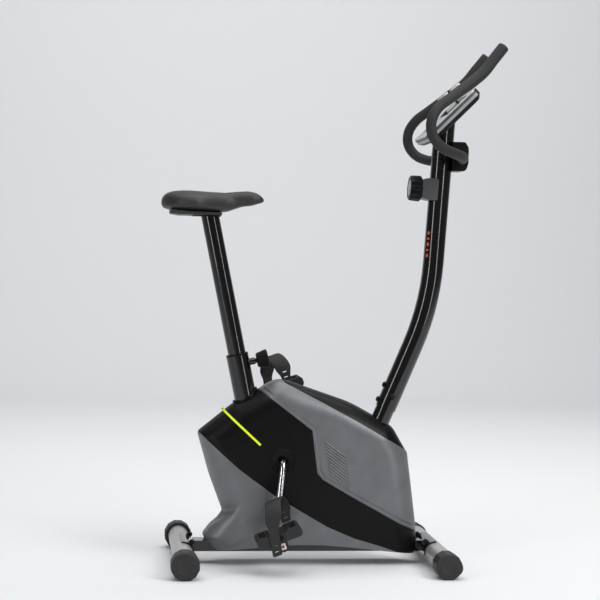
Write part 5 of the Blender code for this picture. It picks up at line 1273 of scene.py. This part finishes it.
makeConsole()


# What stays as packed gets its finish straight on its own slots: the drive inside the shroud, and the cable.
carried = dict(
    drive_belt="mouldedRubber", drive_pulley="blackNylon", flywheel="castIron", flywheel_axle="zincPlate",
    flywheel_pulley="zincPlate", idler_arm="zincPlate", idler_pulley="blackNylon", magnet_arm="zincPlate",
    tension_cable="mouldedRubber",
)
for node, finish in carried.items():
    for slot in nodes[node].material_slots:
        slot.material = materials[finish]
print("drive dressed")


# Studio: a pale sweep for a floor, large soft lights, and two tall strips that draw streaks on the tubes.
studio = dict(floor="#e4e5e7", world="#eef0f2", worldStrength=0.15, halfAcross=12.0, front=-9.0,
              bendStart=4.5, bendRadius=1.5, top=6.0)
lights = dict(  # place, target, size in metres, watts
    overhead=((0.2, -0.2, 4.0), (0.0, 0.3, 0.0), (5.0, 4.0), 135.0),
    backdropWash=((0.0, 1.6, 4.6), (0.0, 6.0, 1.6), (7.0, 1.2), 150.0),
    keyFront=((2.2, -2.2, 2.9), (0.1, 0.0, 0.4), (1.6, 1.2), 55.0),
    stripRear=((-2.6, -2.2, 1.3), (0.0, 0.0, 0.7), (0.30, 2.4), 26.0),
    stripFront=((1.9, -2.6, 1.3), (0.1, 0.0, 0.7), (0.22, 2.4), 18.0),
)


def makeFloor():
    material = bpy.data.materials.new("paintedStudioFloor")
    material.use_nodes = True
    shader = material.node_tree.nodes["Principled BSDF"]
    shader.inputs["Base Color"].default_value = toLinear(studio["floor"])
    shader.inputs["Roughness"].default_value = 0.85
    mesh = bpy.data.meshes.new("floor")
    start, r = studio["bendStart"], studio["bendRadius"]
    bend = [math.pi / 2 * k / 12 for k in range(1, 13)]
    profile = [(studio["front"], 0.0), (start, 0.0)]
    profile += [(start + r * math.sin(a), r - r * math.cos(a)) for a in bend]
    profile += [(start + r, studio["top"])]
    verts = [(x, y, z) for y, z in profile for x in (-studio["halfAcross"], studio["halfAcross"])]
    faces = [(2 * i, 2 * i + 1, 2 * i + 3, 2 * i + 2) for i in range(len(profile) - 1)]
    mesh.from_pydata(verts, [], faces)
    mesh.shade_smooth()
    mesh.materials.append(material)
    floor = bpy.data.objects.new("floor", mesh)
    bpy.context.scene.collection.objects.link(floor)


def addLight(name, place, target, size, watts):
    lamp = bpy.data.lights.new(name, "AREA")
    lamp.shape = "RECTANGLE"
    lamp.size, lamp.size_y = size
    lamp.energy = watts
    holder = bpy.data.objects.new(name, lamp)
    holder.location = place
    holder.rotation_euler = (Vector(target) - Vector(place)).to_track_quat("-Z", "Y").to_euler()
    bpy.context.scene.collection.objects.link(holder)


def makeCamera():
    # Seen from the rider's right, a little from behind and almost level, with a long lens.
    yaw, pitch, roll = math.radians(6.63), math.radians(-1.31), math.radians(1.08)
    place = Vector((-0.5299, -3.9632, 0.7409))
    ahead = Vector((math.sin(yaw) * math.cos(pitch), math.cos(yaw) * math.cos(pitch), math.sin(pitch)))
    right = Vector((math.cos(yaw), -math.sin(yaw), 0))
    above = right.cross(ahead)
    across = right * math.cos(roll) + above * math.sin(roll)
    over = above * math.cos(roll) - right * math.sin(roll)
    lens = bpy.data.cameras.new("studioCamera")
    lens.lens = 97.0
    lens.sensor_width = 36.0
    camera = bpy.data.objects.new("studioCamera", lens)
    camera.matrix_world = Matrix.Translation(place) @ Matrix((across, over, -ahead)).transposed().to_4x4()
    bpy.context.scene.collection.objects.link(camera)
    bpy.context.scene.camera = camera


def makeWorld():
    world = bpy.data.worlds.new("studioWorld")
    world.use_nodes = True
    background = world.node_tree.nodes["Background"]
    background.inputs["Color"].default_value = toLinear(studio["world"])
    background.inputs["Strength"].default_value = studio["worldStrength"]
    bpy.context.scene.world = world
    bpy.context.scene.view_settings.view_transform = "Standard"


makeFloor()
makeWorld()
makeCamera()
for lightName, lightFacts in lights.items():
    addLight(lightName, *lightFacts)
print("studio made")
